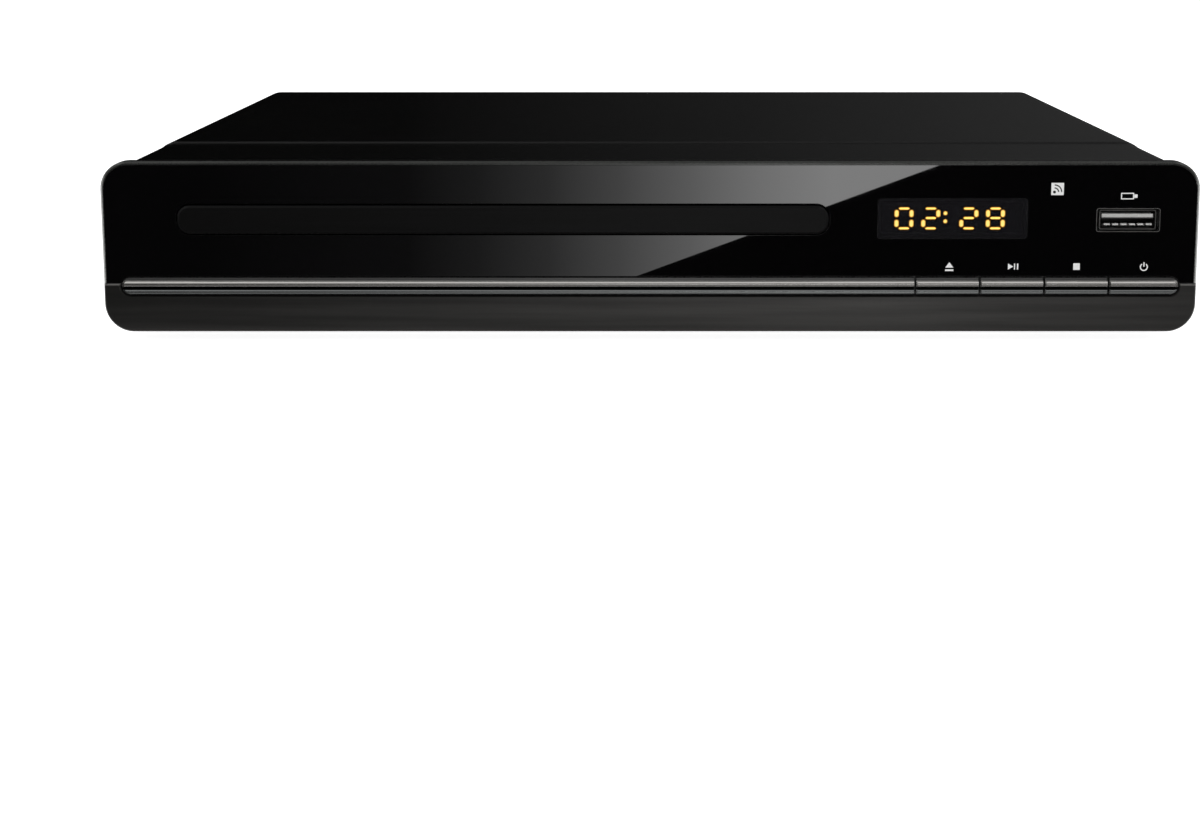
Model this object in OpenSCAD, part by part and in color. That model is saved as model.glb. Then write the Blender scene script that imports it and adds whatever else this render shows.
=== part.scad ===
// Disc player with a motorised drawer: a slim steel case, a moulded front, a
// drawer loader with its lifting traverse, and the boards beside the loader.
// Millimetres. X runs to the right seen from the front, Y to the back, Z up.
// The origin is on the table under the middle of the case.

/* [Case] */
// Width of the moulded front
body_w = 270; // [264:1:290]
// Height of the moulded front, without the feet
body_h = 42.5; // [42:0.5:50]
// Depth from the front's face to the back of the cover
body_d = 206; // [203:1:230]
// Height of the feet below the case
foot_h = 3; // [2:0.5:6]
// Diameter of a foot
foot_dia = 14; // [10:1:18]
// Thickness of the steel sheet
sheet = 0.8; // [0.6:0.1:1.0]
// Bend radius of the cover's long edges
cover_bend = 6; // [4:0.5:6.5]
// Distance from the front's face to the step across the cover
cover_step_y = 47; // [40:1:60]
// Height of the step across the cover
cover_step = 0.3; // [0.2:0.1:0.5]
// Number of cooling slots in each side of the cover
side_slots = 14; // [6:1:16]

/* [Front] */
// Corner radius of the moulded front
bezel_r = 7; // [5:0.5:8]
// Width of the rim above the gloss panel
rim_top = 0.9; // [0.6:0.1:1.5]
// Width of the rim at the sides and the bottom
rim_side = 0.7; // [0.5:0.1:1.5]
// Thickness of the two front plates
panel_t = 1.5; // [1.2:0.1:2]
// Height of the seam between the two plates above the bottom of the front
seam_h = 12.2; // [11.8:0.1:12.6]
// Height of the middle of the metallic bar above the bottom of the front
bar_z = 11.5; // [11.35:0.05:11.65]
// Height of the metallic bar
bar_h = 4.1; // [3.7:0.1:4.4]
// How far the metallic bar stands out of the front
bar_proud = 1; // [0.6:0.1:1.5]
// Free space around the bar in its channel
bar_gap = 0.39; // [0.3:0.01:0.6]
// Left edge of the first key
key_x = 65.5; // [60:0.5:66]
// Distance from one key to the next
key_pitch = 15.9; // [14:0.1:16]
// Travel of a key
key_travel = 0.6; // [0.3:0.1:0.8]
// How far the drawer's front reaches past the drawer on each side
door_side = 5; // [4.5:0.5:5.5]
// Height of the drawer's front
door_h = 7; // [7:0.1:8.4]
// Corner radius of the drawer's front
door_r = 3; // [2:0.1:3.3]
// How far the drawer's front stands out of the front
door_proud = 0.8; // [0.4:0.1:0.9]
// Free space around the drawer's front
door_gap = 0.42; // [0.38:0.02:0.6]
// Width of the display window
disp_w = 36.8; // [34:0.2:38]
// Height of the display window
disp_h = 9.8; // [9:0.2:10.6]
// Middle of the display window, to the right of the middle of the front
disp_x = 74.4; // [73:0.2:76]
// Middle of the USB port, to the right of the middle of the front
usb_x = 117.6; // [116:0.1:119]
// Width of the cut-out for the USB port
usb_cut_w = 15.4; // [15:0.1:16]
// Height of the cut-out for the USB port
usb_cut_h = 5.6; // [5.5:0.1:6.6]

/* [Drawer and loader] */
// Middle of the disc, to the left of the middle of the front
disc_x = -36.2; // [-38:0.2:-35]
// Distance from the front's face to the middle of the disc
disc_y = 71; // [70:0.5:73]
// Diameter of the large disc bed
disc_bed = 121.2; // [121:0.1:122]
// Diameter of the small disc bed
small_bed = 81.2; // [81:0.1:82]
// Width of the drawer behind its front
tray_w = 150; // [148:0.5:152]
// Length of the drawer behind its front
tray_len = 166; // [160:1:168]
// Travel of the drawer
tray_travel = 135; // [100:1:140]
// Running space between the drawer and its rails
rail_gap = 0.3; // [0.2:0.05:0.4]
// Module of the drawer's gears
gear_m = 1; // [1:1:1]
// Teeth of the gear that drives the drawer
drive_teeth = 24; // [24:1:24]
// Teeth of the small gear on the belt pulley
pulley_teeth = 10; // [10:1:10]
// Diameter of the belt pulley
pulley_dia = 20; // [16:1:20]
// Angle by which the traverse drops when the drawer is free to move
lift_deg = 4; // [3:0.5:4]
// Travel of the cam slider
cam_travel = 18; // [14:1:20]
// Diameter of the turntable
table_dia = 29; // [26:1:30]
// Travel of the pickup along its rods
sled_travel = 35; // [30:1:35]
// Diameter of the guide rods
rod_dia = 3; // [2.5:0.5:3]
// Diameter of the clamp's collar
clamp_dia = 30; // [28:1:34]

/* [Back] */
// Outer diameter of an audio or video jack
jack_dia = 8.3; // [8.3:0.1:8.6]
// Distance between two jacks
jack_pitch = 14; // [13:0.5:16]
// How far the jacks stand out behind the cover
jack_proud = 9; // [7:0.5:10]
// Thickness of the circuit boards
board_t = 1.6; // [1.2:0.2:1.6]

/* [Hidden] */
$fn = 48;
eps = 0.01;

// Front, from its face backwards
front_y = -(body_d + jack_proud - bar_proud) / 2;
rear_y = front_y + body_d;
bez_z0 = foot_h;
bez_z1 = foot_h + body_h;
bez_cz = (bez_z0 + bez_z1) / 2;
rim_inset = 0.5;
panel_inset = 0.2;
plate_y0 = front_y + panel_inset;
plate_y1 = plate_y0 + panel_t;
wall_t = 2.2;
wall_y1 = plate_y1 + wall_t;
flange_d = 3.2;
flange_y1 = front_y + flange_d;
skirt_t = 2;
skirt_y1 = flange_y1 + 12;
case_gap = 0.3;

// Case
cover_w = body_w - 6;
cover_z1 = bez_z1 - 0.1;
cover_z0 = bez_z0 + 1.6;
cover_y0 = flange_y1 + case_gap;
step_y = front_y + cover_step_y;
skirt_w = cover_w - 2 * (sheet + case_gap);
skirt_r = cover_bend - sheet;
skirt_z0 = bez_z0 + 1.5;
skirt_z1 = cover_z1 - sheet - cover_step - case_gap;
floor_z0 = bez_z0 + 1.2;
floor_z1 = floor_z0 + sheet;
floor_w = cover_w - 2 * (sheet + case_gap);
floor_y0 = skirt_y1 + case_gap;
back_y1 = rear_y - sheet;
back_y0 = back_y1 - sheet;
foot_x = cover_w / 2 - 27;
foot_front_y = front_y + 33;
foot_rear_y = rear_y - 19;
chassis_side_h = 9;
chassis_y1 = back_y0 - 0.05;
side_slot_pitch = 5;
side_slot_len = 20;
side_slot_y = rear_y - 24 - (side_slots - 1) * side_slot_pitch;
bottom_slots = 9;
bottom_slot_pitch = 6;
cover_screw_ys = [front_y + 45, rear_y - 12];
cover_screw_z = floor_z1 + 4.5;
back_screw_xs = [-cover_w / 2 + 14, 0, cover_w / 2 - 14];
back_screw_z = cover_z1 - 3.8;
low_screw_xs = [-cover_w / 2 + 14, cover_w / 2 - 4.5];
low_screw_z = floor_z1 + 4;
thread_r = 1.35;
back_slot_pitch = 5;

// Front controls
seam_z = bez_z0 + seam_h;
seam_gap = 0.06;
fascia_y0 = front_y + 0.05;
fascia_edge = 0.35;
strip_z = bez_z0 + bar_z;
strip_y0 = front_y - bar_proud;
strip_half = body_w / 2 - 4.5;
strip_back_y = plate_y0 + 0.5;
strip_base_y = front_y + 0.05;
bar_lip = 0.65;
bar_groove = 0.45;
bar_foot_r = 0.7;
bar_crown_r = (bar_h - bar_lip - bar_groove) / 2 - bar_foot_r;
bar_pegs = [-110, -40, 30];
peg_r = 1;
key_gap = 0.5;
key_count = 4;
stem_w = 8;
stem_h = 2;
stem_gap = 0.3;
board_y1 = front_y + 11;
board_y0 = board_y1 - board_t;
stem_end_y = wall_y1 + 0.4;
switch_y0 = stem_end_y + key_travel + 0.05;
door_z = bez_z0 + 28.1;
door_y0 = front_y - door_proud;
door_y1 = front_y + 3;
door_edge = 0.5;
disp_z = door_z + 0.2;
disp_lip = 0.8;
module_w = disp_w - 2 * disp_lip - 0.8;
module_h = disp_h - 2 * disp_lip - 0.6;
module_y0 = plate_y1 + 0.35;
seg_t = 0.1;
usb_z = door_z - 0.15;
usb_w = 14.1;
usb_h = 5;
usb_wall = 0.3;
usb_y0 = front_y + 0.9;
usb_len = 14;
ir_x = usb_x - 17.7;
ir_z = bez_z1 - 6.8;
front_bosses = [[usb_x - 4.1, bez_z0 + 7.2], [disp_x - 22.4, bez_z0 + 7.2],
                [disp_x - 22.4, bez_z1 - 6.8], [usb_x - 10.9, bez_z1 - 6.8]];

// Seven-segment digits: their middles, their size and the size of their bars
dig_xs = [disp_x - 11.9, disp_x - 5.3, disp_x + 4.1, disp_x + 10.7];
dig_z = disp_z - 0.4;
dig_w = 4.9;
dig_h = 5.7;
upright_w = 1.15;
upright_h = 1.8;
cross_w = 2.5;
cross_h = 0.75;
colon_x = disp_x - 1.8;
colon_zs = [dig_z - 0.7, dig_z + 1.3];
colon_r = 0.55;
switch_body = 6;
function key_left(i) = key_x + i * key_pitch;
function key_right(i) = i < key_count - 1 ? key_left(i + 1) : strip_half + key_gap / 2;
function key_mid(i) = (key_left(i) + key_right(i)) / 2;

// Drawer
cx = disc_x;
cy = front_y + disc_y;
door_w = tray_w + 2 * door_side;
tray_x0 = cx - tray_w / 2;
tray_x1 = cx + tray_w / 2;
tray_y0 = door_y1;
tray_y1 = tray_y0 + tray_len;
tray_h = 6.8;
tray_z0 = door_z - tray_h / 2;
tray_z1 = tray_z0 + tray_h;
pan_z0 = tray_z0 + 2.3;
pan_z1 = pan_z0 + 2;
deck_z0 = tray_z1 - 1.8;
window_r = 21;
window_y1 = cy + 63;

// Gear train of the drawer
drive_r = gear_m * drive_teeth / 2;
pulley_r = gear_m * pulley_teeth / 2;
rack_x = tray_x1 - 8.8;
drive_x = rack_x - drive_r;
drive_y = front_y + 25;
pulley_x = drive_x - (drive_r + pulley_r);
pulley_y = drive_y;
motor_pulley_r = 3;
motor_x = pulley_x - 27;
motor_y = drive_y;
deck_z1 = floor_z1 + 11.6;
deck_t = 1.8;
post_r = 1.5;
run_gap = 0.05;
belt_z = deck_z1 + 2.4;
belt_t = 1.2;
belt_gap = 0.08;
belt_steps = 30;
belt_lean = asin((pulley_dia / 2 - motor_pulley_r) / (pulley_x - motor_x));
ribbon_steps = 10;
gear_z1 = pan_z0 - 0.4;
drive_z0 = belt_z + 2.6;

// Loader frame
frame_wall = 3;
frame_in0 = tray_x0 - 0.5;
frame_in1 = tray_x1 + 0.5;
frame_x0 = frame_in0 - frame_wall;
frame_x1 = frame_in1 + frame_wall;
frame_y0 = wall_y1 + 2.1;
frame_y1 = tray_y1 + 9;
ledge_z1 = tray_z0 - rail_gap;
ledge_w = 4;
lip_z0 = tray_z1 + rail_gap;
bridge_z0 = lip_z0 + 1.4;
damper_h = 3;
boss_x0 = frame_x0 + 7;
boss_x1 = frame_x1 - 7;
boss_y0 = floor_y0 + 7;
boss_y1 = frame_y1 - 7;
foot_places = [for (x = [-foot_x, foot_x], y = [foot_front_y, foot_rear_y]) [x, y]];
loader_posts = [for (x = [boss_x0, boss_x1], y = [boss_y0, boss_y1]) [x, y]];

// Traverse, drawn level, as it stands when lifted
hinge_y = cy + 94;
hinge_z = pan_z1 - 11;
table_z = pan_z1 + 1;
plate_z1 = table_z - 6;
plate_z0 = plate_z1 - 2;
rib_z0 = plate_z0 - 4;
trav_x0 = cx - 45;
trav_x1 = cx + 33;
trav_y0 = cy - 28;
trav_y1 = hinge_y - 4;
pin_r = 1.2;
lift_pin_z = plate_z0 + 0.1;
rod_x = 21;
rod_z = plate_z0 - 2;
rod_y0 = cy + 11;
rod_y1 = cy + 85;
lens_y = cy + 24;
sled_m = 0.6;
sled_rack_x = cx - 29;
sled_small_teeth = 12;
sled_big_teeth = 26;
sled_motor_teeth = 10;
sled_small_r = sled_m * sled_small_teeth / 2;
sled_big_r = sled_m * sled_big_teeth / 2;
sled_motor_r = sled_m * sled_motor_teeth / 2;
sled_gear_x = sled_rack_x - sled_small_r;
sled_gear_y = cy + 44;
sled_motor_y = sled_gear_y - (sled_big_r + sled_motor_r);
sled_big_z0 = plate_z1 + 0.3;
sled_small_z0 = sled_big_z0 + 1.1;
sled_small_z1 = sled_small_z0 + 1.3;

// Cam slider
cam_rail_z = floor_z1 + 6.6;
cam_y0 = cy - 32.5;
cam_y1 = cam_y0 + 2;
cam_pin_low = hinge_z - (hinge_y - trav_y0) * sin(lift_deg) + (lift_pin_z - hinge_z) * cos(lift_deg);
cam_pin_high = lift_pin_z;
cam_pin_xs = [cx - 20, cx + 20];

// Boards
board_z0 = floor_z1 + 5;
board_z1 = board_z0 + board_t;
main_x0 = frame_x1 + 5.5;
main_x1 = main_x0 + 46;
main_y0 = front_y + 67;
main_y1 = back_y0 - 3;
power_x0 = main_x1 + 3;
power_x1 = floor_w / 2 - sheet - 2.3;
power_y0 = front_y + 57;
power_y1 = back_y0 - 3;
main_posts = [for (x = [main_x0 + 5, main_x1 - 5], y = [main_y0 + 6, main_y1 - 30]) [x, y]];
power_posts = [for (x = [power_x0 + 5, power_x1 - 5], y = [power_y0 + 6, power_y1 - 28]) [x, y]];
chip_y = main_y0 + 54;
jack_x = (main_x0 + main_x1) / 2;
jack_z = board_z1 + 9;
jack_y0 = back_y0 - 9.5;
jack_y1 = rear_y + jack_proud;
jack_free_y = rear_y + 0.9;
jack_wall = 0.5;
jack_neck_r = jack_dia / 2 - jack_wall;
jack_fit = 0.03;
jack_bore_r = 1.6;
ring_r = 5;
inlet_x = (power_x0 + power_x1) / 2;
inlet_z = board_z1 + 7;
inlet_w = 20;
inlet_h = 11;

// ---- Shared shapes -------------------------------------------------------

// A box given by its corners
module block(x0, x1, y0, y1, z0, z1) {
    translate([x0, y0, z0]) cube([x1 - x0, y1 - y0, z1 - z0]);
}

// Extrudes an XZ outline from y0 to y1
module along_y(y0, y1) {
    translate([0, y1, 0]) rotate([90, 0, 0]) linear_extrude(y1 - y0) children();
}

// Extrudes a YZ outline from x0 to x1
module along_x(x0, x1) {
    translate([x0, 0, 0]) rotate([90, 0, 90]) linear_extrude(x1 - x0) children();
}

// Extrudes an XY outline from z0 to z1
module along_z(z0, z1) {
    translate([0, 0, z0]) linear_extrude(z1 - z0) children();
}

// A rectangle with round corners about its middle
module round_rect(x, y, w, h, r) {
    translate([x, y]) {
        square([w - 2 * r, h], center = true);
        square([w, h - 2 * r], center = true);
        for (i = [-1, 1], j = [-1, 1])
            translate([i * (w / 2 - r), j * (h / 2 - r)]) circle(r);
    }
}

module post(x, y, z0, z1, r) {
    translate([x, y, z0]) cylinder(r = r, h = z1 - z0);
}

// A slot with round ends between two points
module slot2d(a, b, r) {
    d = b - a;
    translate(a) circle(r);
    translate(b) circle(r);
    translate(a) rotate(atan2(d[1], d[0])) translate([0, -r]) square([norm(d), 2 * r]);
}

// Cross-head screw along -Z, with the underside of its head at the origin
module screw(length, shaft_r = 1.3, head_r = 2.8, head_h = 1.8) {
    difference() {
        union() {
            translate([0, 0, -length]) cylinder(r = shaft_r, h = length + eps);
            cylinder(r = head_r, h = head_h);
        }
        for (a = [0, 90])
            rotate(a) translate([-1.6, -0.35, head_h - 1]) cube([3.2, 0.7, 2]);
    }
}

// Involute: the point at roll angle t on a base circle of radius rb
function involute(rb, t) = [
    rb * (cos(t) + t * PI / 180 * sin(t)),
    rb * (sin(t) - t * PI / 180 * cos(t))
];
function turned(p, a) = [p[0] * cos(a) - p[1] * sin(a), p[0] * sin(a) + p[1] * cos(a)];

// Spur gear outline with a tooth centred on +X, 20 degree teeth and backlash
module gear2d(teeth, m, backlash = 0.12) {
    rp = m * teeth / 2;
    rb = rp * cos(20);
    ra = rp + 0.9 * m;
    rf = rp - 1.15 * m;
    start = max(rb, rf);
    t_pitch = sqrt(pow(rp / rb, 2) - 1) * 180 / PI;
    t_tip = sqrt(pow(ra / rb, 2) - 1) * 180 / PI;
    t_start = sqrt(max(0, pow(start / rb, 2) - 1)) * 180 / PI;
    inv_pitch = t_pitch - 20;
    half = 90 / teeth - backlash / 2 / rp * 180 / PI + inv_pitch;
    steps = 5;
    flank = [for (i = [0:steps]) involute(rb, t_start + (t_tip - t_start) * i / steps)];
    tooth = concat(
        [turned([rf, 0], -half)],
        [for (p = flank) turned(p, -half)],
        [for (i = [steps:-1:0]) turned([flank[i][0], -flank[i][1]], half)],
        [turned([rf, 0], half)]
    );
    polygon([for (k = [0:teeth - 1]) for (p = tooth) turned(p, k * 360 / teeth)]);
}

// Straight rack along Y with its teeth towards -X; x = 0 is the pitch line.
// A tooth space is centred on y = 0.
module rack2d(y_min, y_max, m, back, backlash = 0.12, tip = 0.9) {
    pitch = PI * m;
    first = ceil(y_min / pitch);
    last = floor(y_max / pitch) - 1;
    slope = tan(20);
    add = tip * m;
    ded = 1.15 * m;
    half = pitch / 4 - backlash / 2;
    points = [for (k = [first:last]) let (y = (k + 0.5) * pitch) each [
        [ded, y - half - ded * slope], [-add, y - half + add * slope],
        [-add, y + half - add * slope], [ded, y + half + ded * slope]
    ]];
    polygon(concat([[back, y_min], [ded, y_min]], points, [[ded, y_max], [back, y_max]]));
}

// Turns what is drawn level about the traverse's hinge to where it rests
module lowered() {
    translate([0, hinge_y, hinge_z]) rotate([lift_deg, 0, 0])
        translate([0, -hinge_y, -hinge_z]) children();
}

// ---- Case ----------------------------------------------------------------

// Outline of the cover: a sheet bent down at both sides
module cover_outline(w, z1, r) {
    translate([0, (cover_z0 + z1 - r) / 2]) square([w, z1 - r - cover_z0], center = true);
    translate([0, z1 - r / 2]) square([w - 2 * r, r], center = true);
    for (i = [-1, 1]) translate([i * (w / 2 - r), z1 - r]) circle(r);
}

module cover_shell(y0, y1, z1) {
    along_y(y0, y1) difference() {
        cover_outline(cover_w, z1, cover_bend);
        translate([0, -eps]) intersection() {
            cover_outline(cover_w - 2 * sheet, z1 - sheet, cover_bend - sheet);
            translate([-body_w, -body_h]) square([2 * body_w, body_h + z1]);
        }
        translate([-cover_w / 2 + sheet, cover_z0 - 1]) square([cover_w - 2 * sheet, 2]);
    }
}

module top_cover() {
    color([0.12, 0.12, 0.115]) difference() {
        union() {
            cover_shell(cover_y0, step_y, cover_z1 - cover_step);
            cover_shell(step_y - sheet, rear_y, cover_z1);
            // flange over the back panel
            along_y(rear_y - sheet, rear_y) intersection() {
                cover_outline(cover_w, cover_z1, cover_bend);
                translate([-cover_w / 2, cover_z1 - 7]) square([cover_w, 7]);
            }
        }
        for (k = [0:side_slots - 1], s = [-1, 1])
            translate([s * cover_w / 2, side_slot_y + k * side_slot_pitch, bez_cz + 1])
                along_x(-5, 5) slot2d([0, 2 - side_slot_len / 2], [0, side_slot_len / 2 - 2], 1);
        for (s = [-1, 1], y = cover_screw_ys)
            translate([s * cover_w / 2, y, cover_screw_z]) rotate([0, 90, 0])
                cylinder(r = 1.5, h = 10, center = true);
        for (x = back_screw_xs)
            translate([x, rear_y, back_screw_z]) rotate([90, 0, 0])
                cylinder(r = 1.5, h = 10, center = true);
    }
}

module bottom_chassis() {
    color([0.62, 0.63, 0.64]) difference() {
        union() {
            block(-floor_w / 2, floor_w / 2, floor_y0, chassis_y1, floor_z0, floor_z1);
            for (s = [0, 1]) mirror([s, 0, 0])
                block(floor_w / 2 - sheet, floor_w / 2, floor_y0, chassis_y1,
                      floor_z0, floor_z1 + chassis_side_h);
            // front flange, left out under the loader
            for (x = [[-floor_w / 2, frame_x0 - 3], [frame_x1 + 3, floor_w / 2]])
                block(x[0], x[1], floor_y0, floor_y0 + sheet, floor_z0, floor_z1 + 6);
            // pressed posts for the boards
            for (p = concat(main_posts, power_posts)) post(p[0], p[1], floor_z0, board_z0, 3);
        }
        for (p = concat(main_posts, power_posts)) post(p[0], p[1], floor_z0 + 1, board_z0 + 1, thread_r);
        for (p = loader_posts) post(p[0], p[1], floor_z0 - 1, floor_z1 + 1, 1.4);
        for (p = foot_places) post(p[0], p[1], floor_z0 - 1, floor_z1 + 1, 2.05);
        for (s = [-1, 1], y = cover_screw_ys)
            translate([s * floor_w / 2, y, cover_screw_z]) rotate([0, 90, 0])
                cylinder(r = thread_r, h = 6, center = true);
        // cooling slots under the boards
        for (k = [0:bottom_slots - 1])
            translate([0, main_y0 + 28 + k * bottom_slot_pitch]) along_z(floor_z0 - 1, floor_z1 + 1)
                slot2d([main_x0 + 14, 0], [main_x1 - 14, 0], 1);
        // opening under the traverse
        along_z(floor_z0 - 1, floor_z1 + 1)
            round_rect(cx, cy + 24, 30, 18, 4);
    }
}

module rubber_feet() {
    color([0.07, 0.07, 0.07]) for (p = foot_places) {
        post(p[0], p[1], 0, floor_z0, foot_dia / 2);
        post(p[0], p[1], floor_z0 - eps, floor_z1 + 0.6, 2);
        translate([p[0], p[1], floor_z1 + 0.1]) cylinder(r1 = 2.8, r2 = 1.8, h = 1.4);
    }
}

// Cut-outs for what comes out of the back
module back_cutouts() {
    for (k = [-1, 0, 1]) translate([jack_x + k * jack_pitch, jack_z]) circle(ring_r + 0.1);
    translate([inlet_x, inlet_z]) square([inlet_w + 0.2, inlet_h + 0.2], center = true);
    for (x = back_screw_xs) translate([x, back_screw_z]) circle(thread_r);
    for (x = low_screw_xs) translate([x, low_screw_z]) circle(1.5);
    // two banks of cooling slots
    for (k = [0:11]) translate([-cover_w / 2 + 34 + k * back_slot_pitch, bez_cz])
        slot2d([0, -4], [0, 8], 1.1);
    for (k = [0:7]) translate([main_x0 + 6 + k * back_slot_pitch, bez_cz])
        slot2d([0, 8], [0, 13], 1.1);
}

module rear_panel() {
    color([0.16, 0.16, 0.16]) {
        difference() {
            union() {
                along_y(back_y0, back_y1 - 0.05)
                    cover_outline(floor_w, cover_z1 - sheet - case_gap, cover_bend);
                // tabs on the chassis floor
                for (x = low_screw_xs)
                    block(x - 2.4, x + 2.4, back_y0 - 5, back_y0 + eps, floor_z1 + 0.02, floor_z1 + sheet);
                // stiffening bead above the jacks
                translate([jack_x, back_y0, jack_z + 8]) rotate([0, 90, 0])
                    cylinder(r = 0.6, h = 52, center = true);
            }
            translate([0, back_y0 - 10, 0]) rotate([90, 0, 0]) translate([0, 0, -20])
                linear_extrude(30) intersection() {
                    back_cutouts();
                    translate([-body_w, bez_z0]) square([2 * body_w, body_h]);
                }
        }
    }
}

module case_screws() {
    color([0.10, 0.10, 0.10]) {
        for (s = [-1, 1], y = cover_screw_ys)
            translate([s * cover_w / 2, y, cover_screw_z]) rotate([0, s * 90, 0]) screw(3.2);
        for (x = back_screw_xs)
            translate([x, rear_y, back_screw_z]) rotate([-90, 0, 0]) screw(5);
        for (x = low_screw_xs)
            translate([x, back_y1 - 0.05, low_screw_z]) rotate([-90, 0, 0]) screw(3.5);
    }
}

// ---- Front ---------------------------------------------------------------

module bezel_hole(x, z, w, h, r) {
    along_y(plate_y1 - 1, wall_y1 + 1) round_rect(x, z, w, h, r);
}

// Outline of the front, drawn in by the given inset
module front_outline(inset = 0) {
    round_rect(0, bez_cz, body_w - 2 * inset, body_h - 2 * inset, bezel_r - inset);
}

module front_bezel() {
    inner_w = body_w - 2 * rim_side;
    inner_h = body_h - rim_top - rim_side;
    inner_z = bez_z0 + rim_side + inner_h / 2;
    skirt_h = skirt_z1 - skirt_z0;
    skirt_cz = (skirt_z0 + skirt_z1) / 2;
    color([0.42, 0.42, 0.41]) difference() {
        union() {
            hull() {
                along_y(front_y, front_y + eps) front_outline(rim_inset);
                along_y(front_y + rim_inset, flange_y1) front_outline();
            }
            along_y(flange_y1 - eps, skirt_y1) round_rect(0, skirt_cz, skirt_w, skirt_h, skirt_r);
        }
        along_y(front_y - 1, plate_y1) round_rect(0, inner_z, inner_w, inner_h, bezel_r - rim_side);
        // the lower plate reaches over the rim
        along_y(front_y - 1, plate_y1) translate([-body_w, bez_z0 - 1])
            square([2 * body_w, seam_h + 1]);
        along_y(wall_y1, skirt_y1 + 1)
            round_rect(0, skirt_cz, skirt_w - 2 * skirt_t, skirt_h - 2 * skirt_t, skirt_r - skirt_t);
        bezel_hole(cx, door_z, door_w + 2 * door_gap, door_h + 2 * door_gap, door_r + door_gap);
        bezel_hole(disp_x, disp_z, disp_w - 2 * disp_lip, disp_h - 2 * disp_lip, 0.8);
        bezel_hole(usb_x, usb_z, usb_cut_w - 0.4, usb_cut_h - 0.1, 1);
        bezel_hole(ir_x, ir_z, 6.4, 6.4, 3.1);
        for (i = [0:key_count - 1])
            bezel_hole(key_mid(i), strip_z, stem_w + 2 * stem_gap, stem_h + 2 * stem_gap, 0.4);
        // holes for the bar's pegs
        for (x = bar_pegs) bezel_hole(x, strip_z, 2 * peg_r + 0.1, 2 * peg_r + 0.1, peg_r + 0.04);
        // relief under the chassis floor's front edge
        along_y(wall_y1 + 3, skirt_y1 + 1) translate([-frame_x1, skirt_z0 - 1]) square([2 * frame_x1, 1.4]);
    }
    // bosses for the front board
    color([0.42, 0.42, 0.41]) for (p = front_bosses) difference() {
        along_y(wall_y1 - eps, board_y0 - 0.02) translate(p) circle(2.6);
        along_y(wall_y1 + 1, board_y0 + 1) translate(p) circle(1.25);
    }
}

// Channel of the bar through both plates
module channel2d(grow = 0) {
    slot2d([-(strip_half - bar_h / 2), strip_z], [strip_half - bar_h / 2, strip_z],
           bar_h / 2 + bar_gap + grow);
}

module plate_outline() {
    inner_w = body_w - 2 * rim_side - 0.1;
    inner_h = body_h - rim_top - rim_side - 0.1;
    round_rect(0, bez_z0 + rim_side + 0.05 + inner_h / 2, inner_w, inner_h, bezel_r - rim_side);
}

module gloss_panel() {
    color([0.03, 0.03, 0.035]) along_y(plate_y0, plate_y1 - 0.02) difference() {
        plate_outline();
        translate([-body_w / 2, bez_z0 - 1]) square([body_w, seam_z - bez_z0 + 1]);
        channel2d();
        round_rect(cx, door_z, door_w + 2 * door_gap, door_h + 2 * door_gap, door_r + door_gap);
        round_rect(disp_x, disp_z, disp_w + 0.1, disp_h + 0.1, 0.85);
        round_rect(usb_x, usb_z, usb_cut_w, usb_cut_h, 1.4);
    }
}

// Part of the front's outline below the seam
module below_seam(inset = 0) {
    intersection() {
        front_outline(inset);
        translate([-body_w, bez_z0 - 1]) square([2 * body_w, seam_h - seam_gap - inset + 1]);
    }
}

module lower_fascia() {
    color([0.17, 0.165, 0.16]) difference() {
        hull() {
            along_y(fascia_y0, fascia_y0 + eps) below_seam(fascia_edge);
            along_y(fascia_y0 + fascia_edge, plate_y1 - 0.02) below_seam();
        }
        along_y(front_y - 1, plate_y1 + 1) channel2d();
        // the channel's edge is bevelled like the others
        hull() {
            along_y(fascia_y0 - 1, fascia_y0) channel2d(fascia_edge);
            along_y(fascia_y0 + fascia_edge - eps, fascia_y0 + fascia_edge) channel2d();
        }
    }
}

// A rounded bulge of the bar, from the given front to the bar's base
module bulge2d(y0, z, r) {
    translate([y0 + r, z]) circle(r);
    translate([y0 + r, z - r]) square([strip_base_y - y0 - r + eps, 2 * r]);
}

// The whole bar seen from the front, drawn in at its ends
module bar_outline(inset) {
    x = strip_half - inset - bar_h / 2;
    along_y(strip_y0 - 1, strip_back_y + 1) slot2d([-x, strip_z], [x, strip_z], bar_h / 2);
}

// One length of the bar: a crown over a groove and a smaller foot, on a flat base
// that shows as a lip above the crown and around the ends
module bar_piece(x0, x1) {
    low = strip_z - bar_h / 2;
    intersection() {
        block(x0, x1, strip_base_y, strip_back_y, low, low + bar_h);
        bar_outline(0);
    }
    intersection() {
        along_x(x0 + bar_lip / 3, x1) {
            bulge2d(strip_y0, low + bar_h - bar_lip - bar_crown_r, bar_crown_r);
            bulge2d(strip_y0 + 0.3, low + bar_foot_r, bar_foot_r);
        }
        bar_outline(bar_lip);
    }
}

module trim_bar() {
    color([0.45, 0.44, 0.43]) {
        bar_piece(-strip_half, key_x - key_gap / 2);
        // pegs into the bezel
        for (x = bar_pegs) along_y(strip_back_y - eps, wall_y1 + 0.6) translate([x, strip_z]) circle(peg_r);
    }
}

module key(i) {
    color([0.45, 0.44, 0.43]) {
        bar_piece(key_left(i) + key_gap / 2, key_right(i) - key_gap / 2);
        block(key_mid(i) - stem_w / 2, key_mid(i) + stem_w / 2, strip_back_y - eps, stem_end_y,
              strip_z - stem_h / 2, strip_z + stem_h / 2);
    }
}

module eject_button() key(0);
module play_button() key(1);
module stop_button() key(2);
module power_button() key(3);

module display_window() {
    color([0.08, 0.07, 0.09]) along_y(plate_y0, plate_y1 - 0.02)
        round_rect(disp_x, disp_z, disp_w, disp_h, 0.8);
}

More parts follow.
